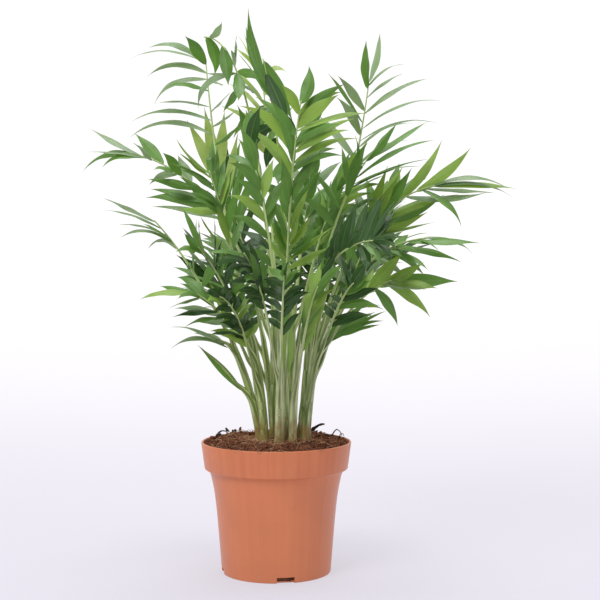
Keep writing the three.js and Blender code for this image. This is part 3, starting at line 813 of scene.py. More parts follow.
def cut(piece, cutter):
    """Takes the cutter's shape out of the piece, and leaves no modifier and no cutter behind."""
    bpy.context.view_layer.update()
    step = piece.modifiers.new("cut", "BOOLEAN")
    step.object = cutter
    step.solver = "EXACT"
    whole = piece.evaluated_get(bpy.context.evaluated_depsgraph_get())
    old = piece.data
    piece.data = bpy.data.meshes.new_from_object(whole)
    piece.data.name = old.name
    piece.modifiers.clear()
    bpy.data.meshes.remove(old)
    bpy.data.objects.remove(cutter)


def pot_plastic(colour):
    """Terracotta-coloured moulded plastic, satin, with faint flow lines, dust and splashes of soil."""
    finish, tree, shader = new_finish("pot plastic", roughness=0.36, specular=0.5)
    patches = mottled(tree, colour, scaled(colour, 1.16), scale=26.0, amount=0.5)
    lines = streaked(tree, lines=70.0, length=1.2, contrast=0.32)
    height = height_on_plant(tree)
    flow = times(lines, remap(height, POT.wall_top_z, POT.band_foot_z, 0.14, 0.38))
    plastic = mix_colour(flow, patches["Colour"], POT.streak)
    specks = remap(clouds(object_place(tree), scale=420.0, detail=3.0), 0.60, 0.72)
    dust = times(times(specks, remap(height, 0.0, POT.dusty_to, 1.0, 0.0)), 0.45)
    smears = remap(clouds(object_place(tree), scale=160.0, detail=5.0), 0.56, 0.70)
    smeared = times(times(smears, remap(height, POT.smeared_from, POT.smeared_to)), 0.5)
    soiled = mix_colour(smeared, mix_colour(dust, plastic, POT.dust), POT.smear)
    join(soiled, shader.inputs["Base Color"])
    rough = plus(times(patches["Mask"], 0.08), 0.33)
    join(plus(rough, times(dust, 0.5)), shader.inputs["Roughness"])
    relief = plus(grained(tree, scale=1400.0), times(lines, 1.5))
    join(bump(relief, distance=0.00006), shader.inputs["Normal"])
    return finish


def make_pot(size):
    shape = Shape()
    shape.add_grid(turned_grid(pot_profile(size), POT.sides), ring=True, capped=True)
    pot = shape.build("nursery_pot", [pot_plastic(size.colour)])
    cut(pot, drain_cutter())
    pot.data.set_sharp_from_angle(angle=POT.sharp_edge)
    settle(pot, "pot", "pot")


# ---------------------------------------------------------------- soil


def ground_height(x, y, relief):
    """Height of the soil's uneven top, which mounds from the pot's lip to the stems."""
    rise = ease((SOIL_EDGE - math.hypot(x, y)) / (SOIL_EDGE - SOIL.flat_radius))
    level = between(SOIL_LEVEL - SOIL.edge_drop, SOIL_LEVEL - SOIL.top_drop, rise)
    lumps = noise.fractal(Vector((x, y, 0.3)) * SOIL.lump_scale, 0.6, 2.2, 4)
    clods = noise.noise(Vector((x, y, 1.7)) * SOIL.clod_scale)
    return level + relief * (SOIL.lump_share * lumps + SOIL.clod_share * clods)


def soil_grid(size):
    """Rings up the inside of the pot's wall, then over the soil's top to its middle."""
    edge = SOIL_EDGE - SOIL.gap
    inset = 2 * POT.lip_radius + 2 * SOIL.gap
    spokes = [(math.cos(a), math.sin(a)) for a in np.arange(SOIL.sides) * math.tau / SOIL.sides]
    rows = []
    for z in (SOIL.foot_z, POT.wall_top_z / 2, POT.wall_top_z):
        radius = wall_radius(z) - inset
        rows.append([(radius * x, radius * y, z) for x, y in spokes])
    for share in np.linspace(1.0, 0.01, SOIL.rings):
        row = [(edge * share * x, edge * share * y) for x, y in spokes]
        rows.append([(x, y, ground_height(x, y, size.relief)) for x, y in row])
    return np.array(rows)


def soil_finish(name, dark, light, scale):
    """Crumbly fibre: mottled from dark to light, with no shine."""
    finish, tree, shader = new_finish(name, roughness=0.95, specular=0.15)
    crumbs = mottled(tree, dark, light, scale, amount=0.9)
    join(crumbs["Colour"], shader.inputs["Base Color"])
    relief = plus(crumbs["Mask"], grained(tree, scale * 3))
    join(bump(relief, distance=0.0004), shader.inputs["Normal"])
    return finish


def lump(dice, size, stretch):
    """The points of a small uneven body, pulled out of a ball's shape and turned."""
    points = LUMP_POINTS * np.array(stretch) * size
    points = points * np.array([[dice.uniform(*SOIL.lump_swells)] for _ in points])
    facing = Vector([dice.uniform(-1, 1) for _ in range(3)]).normalized()
    return points @ np.array(facing.rotation_difference(Vector(UP)).to_matrix())


def unit_lump():
    """Points and faces of the ball that crumbs and bark are pulled out of shape from."""
    ball = bmesh.new()
    bmesh.ops.create_icosphere(ball, subdivisions=1, radius=1.0)
    points = np.array([vertex.co[:] for vertex in ball.verts])
    faces = [[vertex.index for vertex in face.verts] for face in ball.faces]
    ball.free()
    return points, faces


LUMP_POINTS, LUMP_FACES = unit_lump()


def random_place(dice, reach):
    """A place on a disc, evenly spread."""
    radius = reach * math.sqrt(dice.random())
    angle = dice.uniform(0, math.tau)
    return radius * math.cos(angle), radius * math.sin(angle)


def make_crumbs(size, finishes, dice):
    """Crumbs and bark lying on the soil, joined into one piece."""
    shape = Shape()
    for name, (margin, sizes, widths, heights, shown, sorts) in LITTER.items():
        for _ in range(getattr(size, name)):
            x, y = random_place(dice, SOIL_EDGE - margin)
            across = dice.uniform(*sizes)
            body = lump(dice, across, (1.0, dice.uniform(*widths), dice.uniform(*heights)))
            body += (x, y, ground_height(x, y, size.relief) + across * shown)
            shape.add_solid(body, LUMP_FACES, dice.choice(sorts))
    settle(shape.build("soil_crumbs", finishes), "soil")


def fibre_path(dice, size, edge):
    """A curl of fibre that starts in the soil, lifts a little and dips back."""
    x, y = random_place(dice, edge)
    heading = dice.uniform(0, math.tau)
    curl = dice.uniform(-FIBRE.curl, FIBRE.curl)
    step = dice.uniform(*FIBRE.steps)
    lift = dice.uniform(*FIBRE.lifts)
    last = dice.randint(*FIBRE.points) - 1
    path = []
    for i in range(last + 1):
        share = i / last
        rise = lift * math.sin(math.pi * share) + FIBRE.above_ground - FIBRE.end_dip * (i in (0, last))
        path.append((x, y, ground_height(x, y, size.relief) + rise))
        heading += curl + dice.uniform(-FIBRE.wobble, FIBRE.wobble)
        x += step * math.cos(heading)
        y += step * math.sin(heading)
        inside = min(1.0, edge / math.hypot(x, y))
        x *= inside
        y *= inside
    return np.array(path)


def make_fibres(size, finishes, dice):
    """Curly coco fibres over the soil, joined into one piece."""
    shape = Shape()
    for _ in range(size.fibres):
        path = fibre_path(dice, size, SOIL_EDGE - FIBRE.margin)
        gaps = np.linalg.norm(np.diff(path, axis=0), axis=1)
        path = path[np.concatenate(((True,), gaps > FIBRE.least_gap))]
        if len(path) < FIBRE.least_points:
            continue
        swell = np.sin(np.linspace(FIBRE.end_cut, math.pi - FIBRE.end_cut, len(path)))
        radii = dice.uniform(*FIBRE.thickness) * swell**0.5
        near_stems = math.hypot(*path[0][:2]) < SOIL.straw_radius
        finish = dice.choice(FIBRE.by_stems if near_stems else FIBRE.elsewhere)
        shape.add_grid(tube_grid(path, radii, FIBRE.sides), finish=finish, ring=True, capped=True)
    settle(shape.build("soil_fibres", finishes), "soil")


# Bits of bark and twig that stand out of the soil: where each starts, bends and ends, and its
# thickness. Then the larger lumps of bark at the rim: the place (x, y), the size and the height.
TWIGS = (
    ((.028, .048, .106), (.034, .049, .111), (.0405, .05, .112), .0018),
    ((.045, .028, .103), (.05, .028, .116), (.054, .026, .105), .0006),
    ((.05, .018, .103), (.053, .016, .111), (.055, .012, .1075), .0005),
    ((-.05, .01, .104), (-.045, .014, .115), (-.04, .018, .109), .0008),
)
CLODS = (
    ((-.049, .014), .005, .1075), ((-.044, .024), .0048, .1085), ((-.037, .034), .0045, .109),
    ((-.028, .042), .0042, .109), ((.033, .042), .0038, .107), ((.043, .029), .0036, .106),
    ((.05, .015), .003, .1055),
)
TWIG = SimpleNamespace(steps=9, sides=7, stray=0.0003, taper=0.5, knots=(0.7, 1.2), bark_from=0.0007)
CLOD = SimpleNamespace(
    lumps=9, sizes=(0.25, 0.6), stretch=(1.0, 0.7, 0.5), wide=0.004, deep=0.003, sorts=(1, 1, 2, 0)
)


def make_twigs(size, finishes, dice):
    """Dark bits of bark and twig that stick up at the pot's edge."""
    shape = Shape()
    shares = np.linspace(0, 1, TWIG.steps)[:, None]
    for start, bend, end, thick in TWIGS:
        path = curve(*(np.array(place) for place in (start, bend, end)), shares)
        path += np.array([[dice.uniform(-1, 1) * TWIG.stray for _ in range(3)] for _ in shares])
        knots = np.array([dice.uniform(*TWIG.knots) for _ in shares])
        radii = thick * (1 - TWIG.taper * shares[:, 0]) * knots
        finish = 1 if thick > TWIG.bark_from else 2
        shape.add_grid(tube_grid(path, radii, TWIG.sides), finish=finish, ring=True, capped=True)
    for (x, y), across, height in CLODS:
        for _ in range(CLOD.lumps):
            body = lump(dice, across * dice.uniform(*CLOD.sizes), CLOD.stretch)
            ground = ground_height(x, y, size.relief)
            z = between(ground, max(ground, height), dice.random())
            aside = dice.uniform(-CLOD.wide, CLOD.wide)
            body += (x + aside, y + dice.uniform(-CLOD.deep, CLOD.deep), z)
            shape.add_solid(body, LUMP_FACES, dice.choice(CLOD.sorts))
    settle(shape.build("soil_twigs", finishes), "soil")


def make_drain_soil(finishes, dice):
    """Dark soil that shows at the back of the drain notches."""
    shape = Shape()
    for outward, aside in notch_axes():
        for _ in range(DRAIN.lumps):
            body = lump(dice, dice.uniform(*DRAIN.lump_sizes), (1.0, 0.8, 0.8))
            across = dice.uniform(-DRAIN.lump_spread, DRAIN.lump_spread) * DRAIN.width
            body += outward * DRAIN.inner + aside * across + UP * dice.uniform(DRAIN.lump_low, DRAIN.height)
            shape.add_solid(body, LUMP_FACES, 1)
    settle(shape.build("drain_soil", finishes), "soil")


def make_soil(size):
    dice = random.Random("soil")
    own = soil_finish("soil", scaled(size.colour, SOIL.fade), size.colour, SOIL.mottle)
    finishes = [own, *(soil_finish(*sort) for sort in SOIL_SORTS)]
    shape = Shape()
    shape.add_grid(soil_grid(size), ring=True, capped=True)
    settle(shape.build("soil_bed", finishes), "soil", "soil")
    make_crumbs(size, finishes, dice)
    make_fibres(size, finishes, dice)
    make_twigs(size, finishes, dice)
    make_drain_soil(finishes, dice)


# ---------------------------------------------------------------- stems


def stem_axis(number, z):
    """The middle of a stem at a height. It leaves its foot with part of its lean and gains the rest."""
    foot, tip = STEMS[number]
    rise = (z - SOIL_LEVEL) / (tip[2] - SOIL_LEVEL)
    share = STEM.lean * rise + (1 - STEM.lean) * rise * rise
    return np.array((between(foot[0], tip[0], share), between(foot[1], tip[1], share), z))


def stem_direction(number, z):
    foot, tip = STEMS[number]
    height = tip[2] - SOIL_LEVEL
    slope = (STEM.lean + 2 * (1 - STEM.lean) * (z - SOIL_LEVEL) / height) / height
    return unit(np.array(((tip[0] - foot[0]) * slope, (tip[1] - foot[1]) * slope, 1.0)))


def stem_radius(number, z):
    rise = (z - SOIL_LEVEL) / (STEMS[number][1][2] - SOIL_LEVEL)
    spread = np.clip(1 - (z - SOIL_LEVEL) / STEM.flare_height, 0, 1)
    return between(STEM.foot_radius, STEM.tip_radius, rise) + STEM.flare * spread**2


def stalk_skin(name, colour, size):
    """Sheathed stalk: brown at the soil, then green with pale and dark lines, and paler on the petioles."""
    finish, tree, shader = new_finish(name, roughness=0.42, specular=0.4)
    height = height_on_plant(tree)
    rising = mix_colour(remap(height, *STALK.greener), tuple(colour), tuple(size.petiole))
    patches = mottled(tree, rising, STALK.patch, scale=46.0, amount=0.45)
    lines = streaked(tree, lines=10.0, length=5.0, contrast=0.14)
    grooves = streaked(tree, lines=7.0, length=2.0, contrast=0.10)
    lined = mix_colour(times(lines, 0.65), patches["Colour"], STALK.line)
    ridged = mix_colour(times(grooves, 0.7), lined, STALK.groove)
    upper = mix_colour(times(remap(height, *STALK.paler), 0.55), ridged, tuple(size.petiole))
    ragged = clouds(object_place(tree), scale=150.0, detail=3.0)
    swing = times(plus(ragged, -0.5), STALK.foot_swing)
    foot = remap(plus(height, swing), SOIL_LEVEL, SOIL_LEVEL + STALK.foot_height, 1.0, 0.0)
    join(mix_colour(times(foot, 0.8), upper, tuple(size.foot_colour)), shader.inputs["Base Color"])
    join(bump(lines, distance=0.0002, strength=0.7), shader.inputs["Normal"])
    return finish


def stalk_skins(size):
    """The finish of each stem and of the petioles that leave it, made the first time it is asked for."""
    # The stalk finish for the right-hand stems is the same skin in a darker grey-green: painted shade.
    colours = {"stalk": size.colour, "pale stalk": size.pale, "grey stalk": size.grey}
    made = {}
    for name, colour in colours.items():
        made[name] = bpy.data.materials.get(name) or stalk_skin(name, colour, size)
    sorts = {**dict.fromkeys(PALE_STEMS, "pale stalk"), **dict.fromkeys(SHADED_STEMS, "grey stalk")}
    return {number: made[sorts.get(number, "stalk")] for number in STEMS}


def make_stem(number, finish, dice):
    """A stalk wrapped in old leaf sheaths, each with a slanting mouth where the stalk steps in."""
    tip_z = STEMS[number][1][2]
    heights = np.arange(SOIL_LEVEL - STEM.sunk, tip_z + STEM.ring_gap / 2, STEM.ring_gap)
    path = np.array([stem_axis(number, z) for z in heights])
    radii = np.array([stem_radius(number, max(z, SOIL_LEVEL)) for z in heights])[:, None]
    heights = heights[:, None]
    angle = np.arange(STEM.sides) * math.tau / STEM.sides
    phase = dice.uniform(0, math.tau)
    ridges = np.sin(STEM.ridges * angle + phase + STEM.ridge_twist * (heights - SOIL_LEVEL))
    lips = np.zeros((len(heights), STEM.sides))
    mouth = SOIL_LEVEL + dice.uniform(*STEM.first_mouth)
    while mouth < tip_z - STEM.plain_tip:
        slant = STEM.slant * np.cos(angle - dice.uniform(0, math.tau))
        lips += STEM.lip * (heights < mouth + slant)
        mouth += dice.uniform(*STEM.mouth_gaps)
    radii = radii * (1 + STEM.ridge_height * ridges) + lips - lips[0].max() * 0.5
    shape = Shape()
    shape.add_grid(tube_grid(path, radii, STEM.sides), ring=True, capped=True)
    name = f"stem_{number}"
    settle(shape.build(f"{name}_skin", [finish]), "stem", name)


def make_scraps(dice, finishes):
    """Dry papery remnants of old sheaths that peel from the stems' feet."""
    shape = Shape()
    for number in STEMS:
        for _ in range(dice.randint(*SCRAP.counts)):
            low = SOIL_LEVEL + dice.uniform(*SCRAP.feet)
            tall = dice.uniform(*SCRAP.heights)
            turn = dice.uniform(0, math.tau)
            outward = np.array((math.cos(turn), math.sin(turn), 0.0))
            aside = np.array((-math.sin(turn), math.cos(turn), 0.0))
            wide = dice.uniform(*SCRAP.widths)
            peel = dice.uniform(*SCRAP.peels)
            rows = []
            for share in np.linspace(0, 1, SCRAP.rows):
                z = low + tall * share
                off_axis = stem_radius(number, z) + SCRAP.off_stem + peel * share**2
                middle = stem_axis(number, z) + outward * off_axis
                half = wide * (1 - share**1.5) + SCRAP.tip
                curl = outward * SCRAP.curl
                rows.append([middle + aside * half * s - curl * abs(s) for s in SCRAP.columns])
            shape.add_grid(np.array(rows), finish=dice.choice((0, 1)))
    settle(shape.build("sheath_scraps", finishes), "stem")


def make_stems(size):
    dice = random.Random("stems")
    for number, finish in stalk_skins(size).items():
        make_stem(number, finish, dice)
    make_scraps(dice, [soil_finish(*sort) for sort in SCRAP.sorts])


# ---------------------------------------------------------------- fronds


class RibCurve:
    """A frond's rib: it rises in its stem's direction and arches over to the frond's tip."""

    def __init__(self, frond):
        number, height, tip, arch = frond[:4]
        foot = stem_axis(number, height)
        self.tip = np.array(tip)
        level = (self.tip - foot) * (1, 1, 0)
        self.heading = unit(level)
        self.on_tip = height >= STEMS[number][1][2] - RIB.tip_slack
        spread = RIB.top_spread if self.on_tip else RIB.side_spread
        self.start = unit(stem_direction(number, height) + self.heading * spread)
        if self.on_tip:
            self.foot = foot + UP * RIB.tip_seat
        else:
            self.foot = foot + self.heading * (stem_radius(number, height) + RIB.seat)
        self.middle = self.foot + self.start * arch * np.linalg.norm(self.tip - self.foot)
        self.shares = np.linspace(0, 1, RIB.samples)
        places = self.at_share(self.shares)
        steps = np.linalg.norm(np.diff(places, axis=0), axis=1)
        self.lengths = np.concatenate(((0,), np.cumsum(steps)))
        self.length = self.lengths[-1]
        self.blade = 1 - np.clip(RIB.blade_length / self.length, RIB.min_blade, RIB.max_blade)

    def at_share(self, share):
        share = np.atleast_1d(share)[:, None]
        return curve(self.foot, self.middle, self.tip, share)

    def place(self, fraction):
        """The point at a fraction of the rib's length, or the points at several."""
        share = np.interp(np.asarray(fraction) * self.length, self.lengths, self.shares)
        places = self.at_share(share)
        return places if np.ndim(fraction) else places[0]

    def direction(self, fraction):
        share = np.interp(fraction * self.length, self.lengths, self.shares)
        return curve_heading(self.foot, self.middle, self.tip, share)

    def sides(self, fraction, roll):
        """The directions to the blade's left and out of its upper face."""
        along = self.direction(fraction)
        level = unit(np.cross(self.heading, UP))
        above = unit(np.cross(level, along))
        across = level * math.cos(roll) + above * math.sin(roll)
        return across, unit(np.cross(across, along))


def leaf_outline(share):
    """Half the width of a leaflet: widest before its middle, then drawn to a long point."""
    swell = np.sin(np.pi * np.clip(share, 0.0, 1.0) ** LEAF.fullest)
    return swell ** (LEAF.shoulder + LEAF.point * share)


def leaf_rows(places, directions, outward, width, sort, dice):
    """Rows of points across a folded, pleated and slightly twisted leaflet along its places."""
    shares = np.linspace(0, 1, len(places))
    twist = sort.twist * dice.uniform(-1, 1)
    across = unit(np.cross(outward, directions))
    above = np.cross(directions, across)
    turn = (twist * shares)[:, None]
    cosine, sine = np.cos(turn), np.sin(turn)
    across, above = across * cosine + above * sine, above * cosine - across * sine
    foot = LEAF.foot_width * ease(1 - shares / LEAF.foot_share)
    half = width / 2 * leaf_outline(shares) + foot / 2 + LEAF.tip_width
    fold = LEAF.fold * dice.uniform(*LEAF.folds) * (1 - LEAF.unfold * shares)
    wave = np.sin(shares * dice.uniform(*LEAF.ripples) + dice.uniform(*LEAF.ripple_starts))
    wave = LEAF.ripple * wave * np.sin(np.pi * shares)
    columns = np.array(LEAF.columns)
    reach = half[:, None] * columns
    sink = -np.abs(reach) * np.tan(fold)[:, None] + wave[:, None] * columns**3
    sink = sink + LEAF.pleat_height * np.array(LEAF.pleats) * (half / (width / 2))[:, None]
    return places[:, None] + across[:, None] * reach[..., None] + above[:, None] * sink[..., None]


def hanging_leaflet(start, heading, facing, toward, length, width, sort, dice):
    """A leaflet that leaves its rib on a heading, hangs, and bends towards the frond's tip."""
    droop = sort.droop * dice.uniform(*HANG.droops)
    sickle = sort.sickle * dice.uniform(*HANG.sickles)
    place = start
    direction = heading
    places = [place]
    directions = [direction]
    for share in np.linspace(0, 1, LEAF.steps + 1)[1:]:
        weight = 2 * share / LEAF.steps
        direction = unit(direction - UP * droop * weight + toward * sickle * weight)
        place = place + direction * length / LEAF.steps
        places.append(place)
        directions.append(direction)
    outward = unit(facing * (1 - sort.sky) + UP * sort.sky)
    return leaf_rows(np.array(places), np.array(directions), outward, width, sort, dice)


def in_line(x, z, depth):
    """The point at a depth that the camera sees in line with (x, 0, z)."""
    eye = np.array(CAMERA.place)
    return eye + (np.array((x, 0.0, z)) - eye) * (eye[1] - depth) / eye[1]


def placed_leaflet(rib, row, side, width, sort, dice):
    """A leaflet from its rib to a tip of its own. Length that doesn't show from the front goes aside."""
    share, x, z, bow, turn = row[:LEAF.row_values]
    start = rib.place(share)
    shown = np.linalg.norm(in_line(x, z, start[1]) - start)
    hidden = math.sqrt(max(0.0, sort.length**2 - shown**2)) * LEAF.aside * dice.uniform(*LEAF.hidden)
    tip = in_line(x, z, start[1] + side * hidden)
    lift = unit(np.cross(tip - start, DEPTH))
    middle = between(start, tip, LEAF.bow_place) + lift * math.copysign(2, lift[2]) * bow
    width = min(width, LEAF.stoutest * np.linalg.norm(tip - start))
    shares = np.linspace(0, 1, LEAF.steps + 1)[:, None]
    places = curve(start, middle, tip, shares)
    directions = curve_heading(start, middle, tip, shares)
    front = unit(directions * directions.dot(DEPTH)[:, None] - DEPTH)
    edge = np.cross(directions, front)
    edge *= np.sign(edge[:, 2:] + 1e-9)
    turn = math.radians(turn)
    return leaf_rows(places, directions, front * math.cos(turn) + edge * math.sin(turn), width, sort, dice)


def leaflet_rows(place, dice):
    """A frond's rows with the side each is on. A full frond has one more between neighbours."""
    rows = LEAFLETS[place]
    sides = [1 if number % 2 else -1 for number in range(len(rows))]
    placed = list(zip(rows, sides))
    if place in FULL.fronds:
        for row, after, side in zip(rows, rows[2:], sides):
            pairs = zip(row[:LEAF.row_values], after[:LEAF.row_values])
            share, x, z, bow, turn = (between(a, b, dice.uniform(*FULL.shares)) for a, b in pairs)
            x += dice.uniform(-1, 1) * FULL.stray
            z += dice.uniform(-1, 1) * FULL.stray
            turn += dice.uniform(-FULL.turn_stray, FULL.turn_stray)
            placed.append(((share, x, z, bow, turn), side))
    return placed


def add_placed_leaflets(shape, rib, place, sort, size, dice):
    rows = LEAFLETS[place]
    usual = sort.width * size.leaf_width * (FULL.width if place in FULL.fronds else 1.0)
    for row, side in leaflet_rows(place, dice):
        width = usual * (LEAF.last_width if row in rows[-2:] else dice.uniform(*LEAF.widths))
        tone = row[-1] if len(row) > LEAF.row_values else int(dice.random() < SECOND_TONE_SHARE)
        shape.add_grid(placed_leaflet(rib, row, side, width, sort, dice), finish=tone)
    return max(row[0] for row in rows)


def add_leaflets(shape, rib, frond, size, dice):
    """Pairs of leaflets from the end of the petiole to the last pair at the rib's end."""
    roll = math.radians(frond[4])
    sort = KINDS[frond[5]]
    end = 1 - HANG.rib_end * sort.length / rib.length
    for pair in range(sort.pairs):
        along_blade = pair / (sort.pairs - 1)
        last = pair == sort.pairs - 1
        for side in (-1, 1):
            offset = HANG.offset / sort.pairs * (side > 0) * (not last)
            fraction = between(rib.blade, end, min(1, along_blade + offset))
            across, above = rib.sides(fraction, roll)
            toward = rib.direction(fraction)
            splay = sort.splay * (1 - HANG.splay_loss * along_blade**HANG.splay_power)
            splay += HANG.foot_splay * (1 - along_blade)
            splay += math.radians(dice.uniform(-HANG.splay_stray, HANG.splay_stray))
            lift = LEAF.vee * dice.uniform(*HANG.lifts)
            aside = across * side * math.cos(lift) + above * math.sin(lift)
            heading = unit(toward * math.cos(splay) + aside * math.sin(splay))
            swell = math.sin(math.pi * min(1, along_blade * HANG.swell_rate + HANG.swell_start))
            length = sort.length * (HANG.swell_least + HANG.swell * swell) * dice.uniform(*HANG.lengths)
            width = sort.width * (HANG.last_width if last else dice.uniform(*HANG.widths)) * size.leaf_width
            start = rib.place(fraction)
            tone = int(dice.random() < SECOND_TONE_SHARE)
            grid = hanging_leaflet(start, heading, above, toward, length, width, sort, dice)
            shape.add_grid(grid, finish=tone)
    return end


def add_strap(shape, rib, frond, size):
    """A single young blade that follows the rib."""
    width = KINDS["strap"].width * size.leaf_width
    shares = np.linspace(LEAF.strap_start, 1, LEAF.strap_steps)
    in_blade = (shares - shares[0]) / (1 - shares[0])
    places = rib.place(shares)
    columns = np.array(LEAF.columns)
    rows = []
    for share, inside, place in zip(shares, in_blade, places):
        across, above = rib.sides(share, math.radians(frond[4]))
        half = width / 2 * leaf_outline(inside) + LEAF.tip_width
        sink = above * half * math.tan(LEAF.fold)
        rows.append([place - across * half * c - sink * abs(c) for c in columns])
    shape.add_grid(np.array(rows))


def rib_path(rib, frond, end):
    """The rib's path and radii: a sheath round the stem, the petiole parting from it, then the rib."""
    number, height = frond[:2]
    reach = end * rib.length + RIB.past_leaves
    in_sheath = np.linspace(-RIB.sheath, 0, RIB.sheath_steps, endpoint=False)
    stations = np.concatenate((in_sheath, np.linspace(0, reach, RIB.steps)))
    path = []
    radii = []
    tip_z = STEMS[number][1][2]
    for station in stations:
        z = min(height + station, tip_z)
        on_stem = stem_axis(number, z) + UP * max(0, height + station - tip_z)
        sheath = stem_radius(number, z) + RIB.sheath_over * ease((station + RIB.sheath) / RIB.sheath_ease)
        if station <= 0:
            own = rib.foot + rib.start * station
        else:
            own = rib.place(station / rib.length)
        inside = station / reach
        petiole = between(RIB.foot_radius, RIB.neck_radius, ease(inside / rib.blade))
        petiole = between(petiole, RIB.tip_radius, ease((inside - rib.blade) / (RIB.tip_reach - rib.blade)))
        parted = ease(station / RIB.parting + RIB.parted_from)
        path.append(between(on_stem, own, parted))
        radii.append(between(sheath, petiole, parted))
    return np.array(path), np.array(radii)


def make_frond(place, frond, finishes, rib_finish, size):
    dice = random.Random(f"{size.seed} {place}")
    rib = RibCurve(frond)
    leaves = Shape()
    if frond[5] == "strap":
        add_strap(leaves, rib, frond, size)
        end = RIB.strap_end
    elif place in LEAFLETS:
        end = add_placed_leaflets(leaves, rib, place, KINDS[frond[5]], size, dice)
    else:
        end = add_leaflets(leaves, rib, frond, size, dice)
    path, radii = rib_path(rib, frond, end)
    stalk = Shape()
    stalk.add_grid(tube_grid(path, radii, RIB.sides), ring=True, capped=True)
    name = f"frond_{place}"
    tones = [finishes[tone] for tone in (*frond[6:8], *SHARED_TONES)]
    settle(leaves.build(f"{name}_leaflets", tones), "frond", name)
    settle(stalk.build(f"{name}_rib", [rib_finish]), "stem", name)


def make_veins(name):
    """A leaflet's markings: a pale line down its middle, side veins and fine lines along it."""
    inputs = {"Blade": (0.1, 0.3, 0.05, 1.0), "Vein": (0.3, 0.5, 0.1, 1.0), "Amount": 0.5}
    tree, given, result = new_group(name, inputs, ("Colour", "Height"))
    across, _ = across_and_along(tree)
    off_middle = calculate("ABSOLUTE", plus(across, -0.5))
    midrib = remap(off_middle, 0.012, 0.05, 1.0, 0.0)
    off_side = calculate("ABSOLUTE", plus(off_middle, -0.30))
    side_vein = times(remap(off_side, 0.0, 0.03, 1.0, 0.0), 0.45)
    fine = times(plus(calculate("SINE", times(across, 120.0)), 1.0), 0.10)
    marks = calculate("MAXIMUM", calculate("MAXIMUM", midrib, side_vein), fine)
    join(mix_colour(times(marks, given["Amount"]), given["Blade"], given["Vein"]), result["Colour"])
    join(marks, result["Height"])
    return tree


def leaf_skin(tone, colour):
    """A satin leaf in one tone of green: veined and mottled, paler below, with light through it."""
    finish, tree, shader = new_finish(f"leaf {tone}", roughness=0.35, specular=0.32)
    shaded = mottled(tree, colour, scaled(colour, 0.55), scale=31.0, amount=0.7)
    lighter = scaled(colour, 1.45, 1.28, 1.3)
    patches = mottled(tree, shaded["Colour"], lighter, scale=42.0, amount=0.6)
    inputs = {"Blade": patches["Colour"], "Vein": blended(colour, LEAF.vein, 0.45), "Amount": 0.5}
    veins = use_group(tree, "Leaf veins", make_veins, inputs)
    _, along = across_and_along(tree)
    tipped = mix_colour(times(remap(along, 0.84, 1.0), 0.5), veins["Colour"], LEAF.dry_tip)
    below = node(tree, "ShaderNodeNewGeometry").outputs["Backfacing"]
    skin = mix_colour(times(below, 0.8), tipped, blended(colour, LEAF.underside, 0.35))
    join(skin, shader.inputs["Base Color"])
    join(bump(veins["Height"], distance=0.00018, strength=0.7), shader.inputs["Normal"])
    through = node(tree, "ShaderNodeBsdfTranslucent", {"Color": scaled(colour, 1.7, 1.6, 0.9)})
    both = node(tree, "ShaderNodeMixShader", {0: 0.26, 1: shader.outputs[0], 2: through.outputs[0]})
    join(both.outputs[0], tree.nodes["Material Output"].inputs["Surface"])
    return finish


def make_fronds(size):
    finishes = {tone: leaf_skin(tone, tuple(getattr(size, tone))) for tone in LEAF.tones}
    stalks = stalk_skins(bpy.context.scene.palm_stems)
    for place, frond in FRONDS.items():
        make_frond(place, frond, finishes, stalks[frond[0]], size)


# ---------------------------------------------------------------- stage

CAMERA = SimpleNamespace(
    place=(0.0, -1.07, 0.257), yaw=math.radians(1.017), pitch=math.radians(2.1), lens=80.46, sensor=36.0,
)
SWEEP = SimpleNamespace(
    front=-4.0, cove_start=1.0, cove_radius=2.4, top=5.0, reach=6.0, steps=40, columns=9,
    # The glow is painted light: near the plant it lightens the shadows on the floor, and further back it
    # lights the wall.
    glow_start=-0.1, glow_full=2.4, near_glow=(0.555, 0.54, 0.59, 1.0), far_glow=(0.90, 0.90, 0.88, 1.0),
)
# Each lamp's place and width, and the place that all of them face.
LAMPS = {
    "key": ((-0.9, -1.3, 1.5), 0.8),
    "fill": ((1.4, -1.2, 0.8), 1.2),
    "top": ((0.1, 0.2, 1.9), 0.9),
}
LIT_PLACE = (0.0, 0.0, 0.25)
SKY = srgb(252, 250, 255)


def make_camera():
    camera = bpy.data.objects.new("camera", bpy.data.cameras.new("camera"))
    camera.data.sensor_width = CAMERA.sensor
    camera.data.lens = CAMERA.lens
    camera.location = CAMERA.place
    camera.rotation_euler = (math.pi / 2 - CAMERA.pitch, 0, -CAMERA.yaw)
    bpy.context.scene.collection.objects.link(camera)
    bpy.context.scene.camera = camera


def stage_paint(colour):
    """Pale matt paint with painted light: it glows, which lightens the shade the pot casts on the floor
    near it, and glows more the further it lies behind the plant, which stands in for light on the wall.
    """
    finish, tree, shader = new_finish("stage paint", roughness=0.9, specular=0.1)
    patches = mottled(tree, tuple(colour), scaled(colour, 0.97), scale=320.0, amount=0.8)
    join(patches["Colour"], shader.inputs["Base Color"])
    far = remap(axes(object_place(tree))["Y"], SWEEP.glow_start, SWEEP.glow_full)
    join(mix_colour(far, SWEEP.near_glow, SWEEP.far_glow), shader.inputs["Emission Color"])
    shader.inputs["Emission Strength"].default_value = 1.0
    return finish


def make_backdrop(size):
    """A floor that sweeps up into a wall behind the plant."""
    profile = [(SWEEP.front, 0.0)]
    for angle in np.linspace(0, math.pi / 2, SWEEP.steps):
        out = SWEEP.cove_start + SWEEP.cove_radius * math.sin(angle)
        profile.append((out, SWEEP.cove_radius * (1 - math.cos(angle))))
    profile.append((SWEEP.cove_start + SWEEP.cove_radius, SWEEP.top))
    rows = [[(x, y, z) for x in np.linspace(SWEEP.reach, -SWEEP.reach, SWEEP.columns)] for y, z in profile]
    shape = Shape()
    shape.add_grid(np.array(rows))
    backdrop = shape.build("backdrop", [stage_paint(size.colour)])


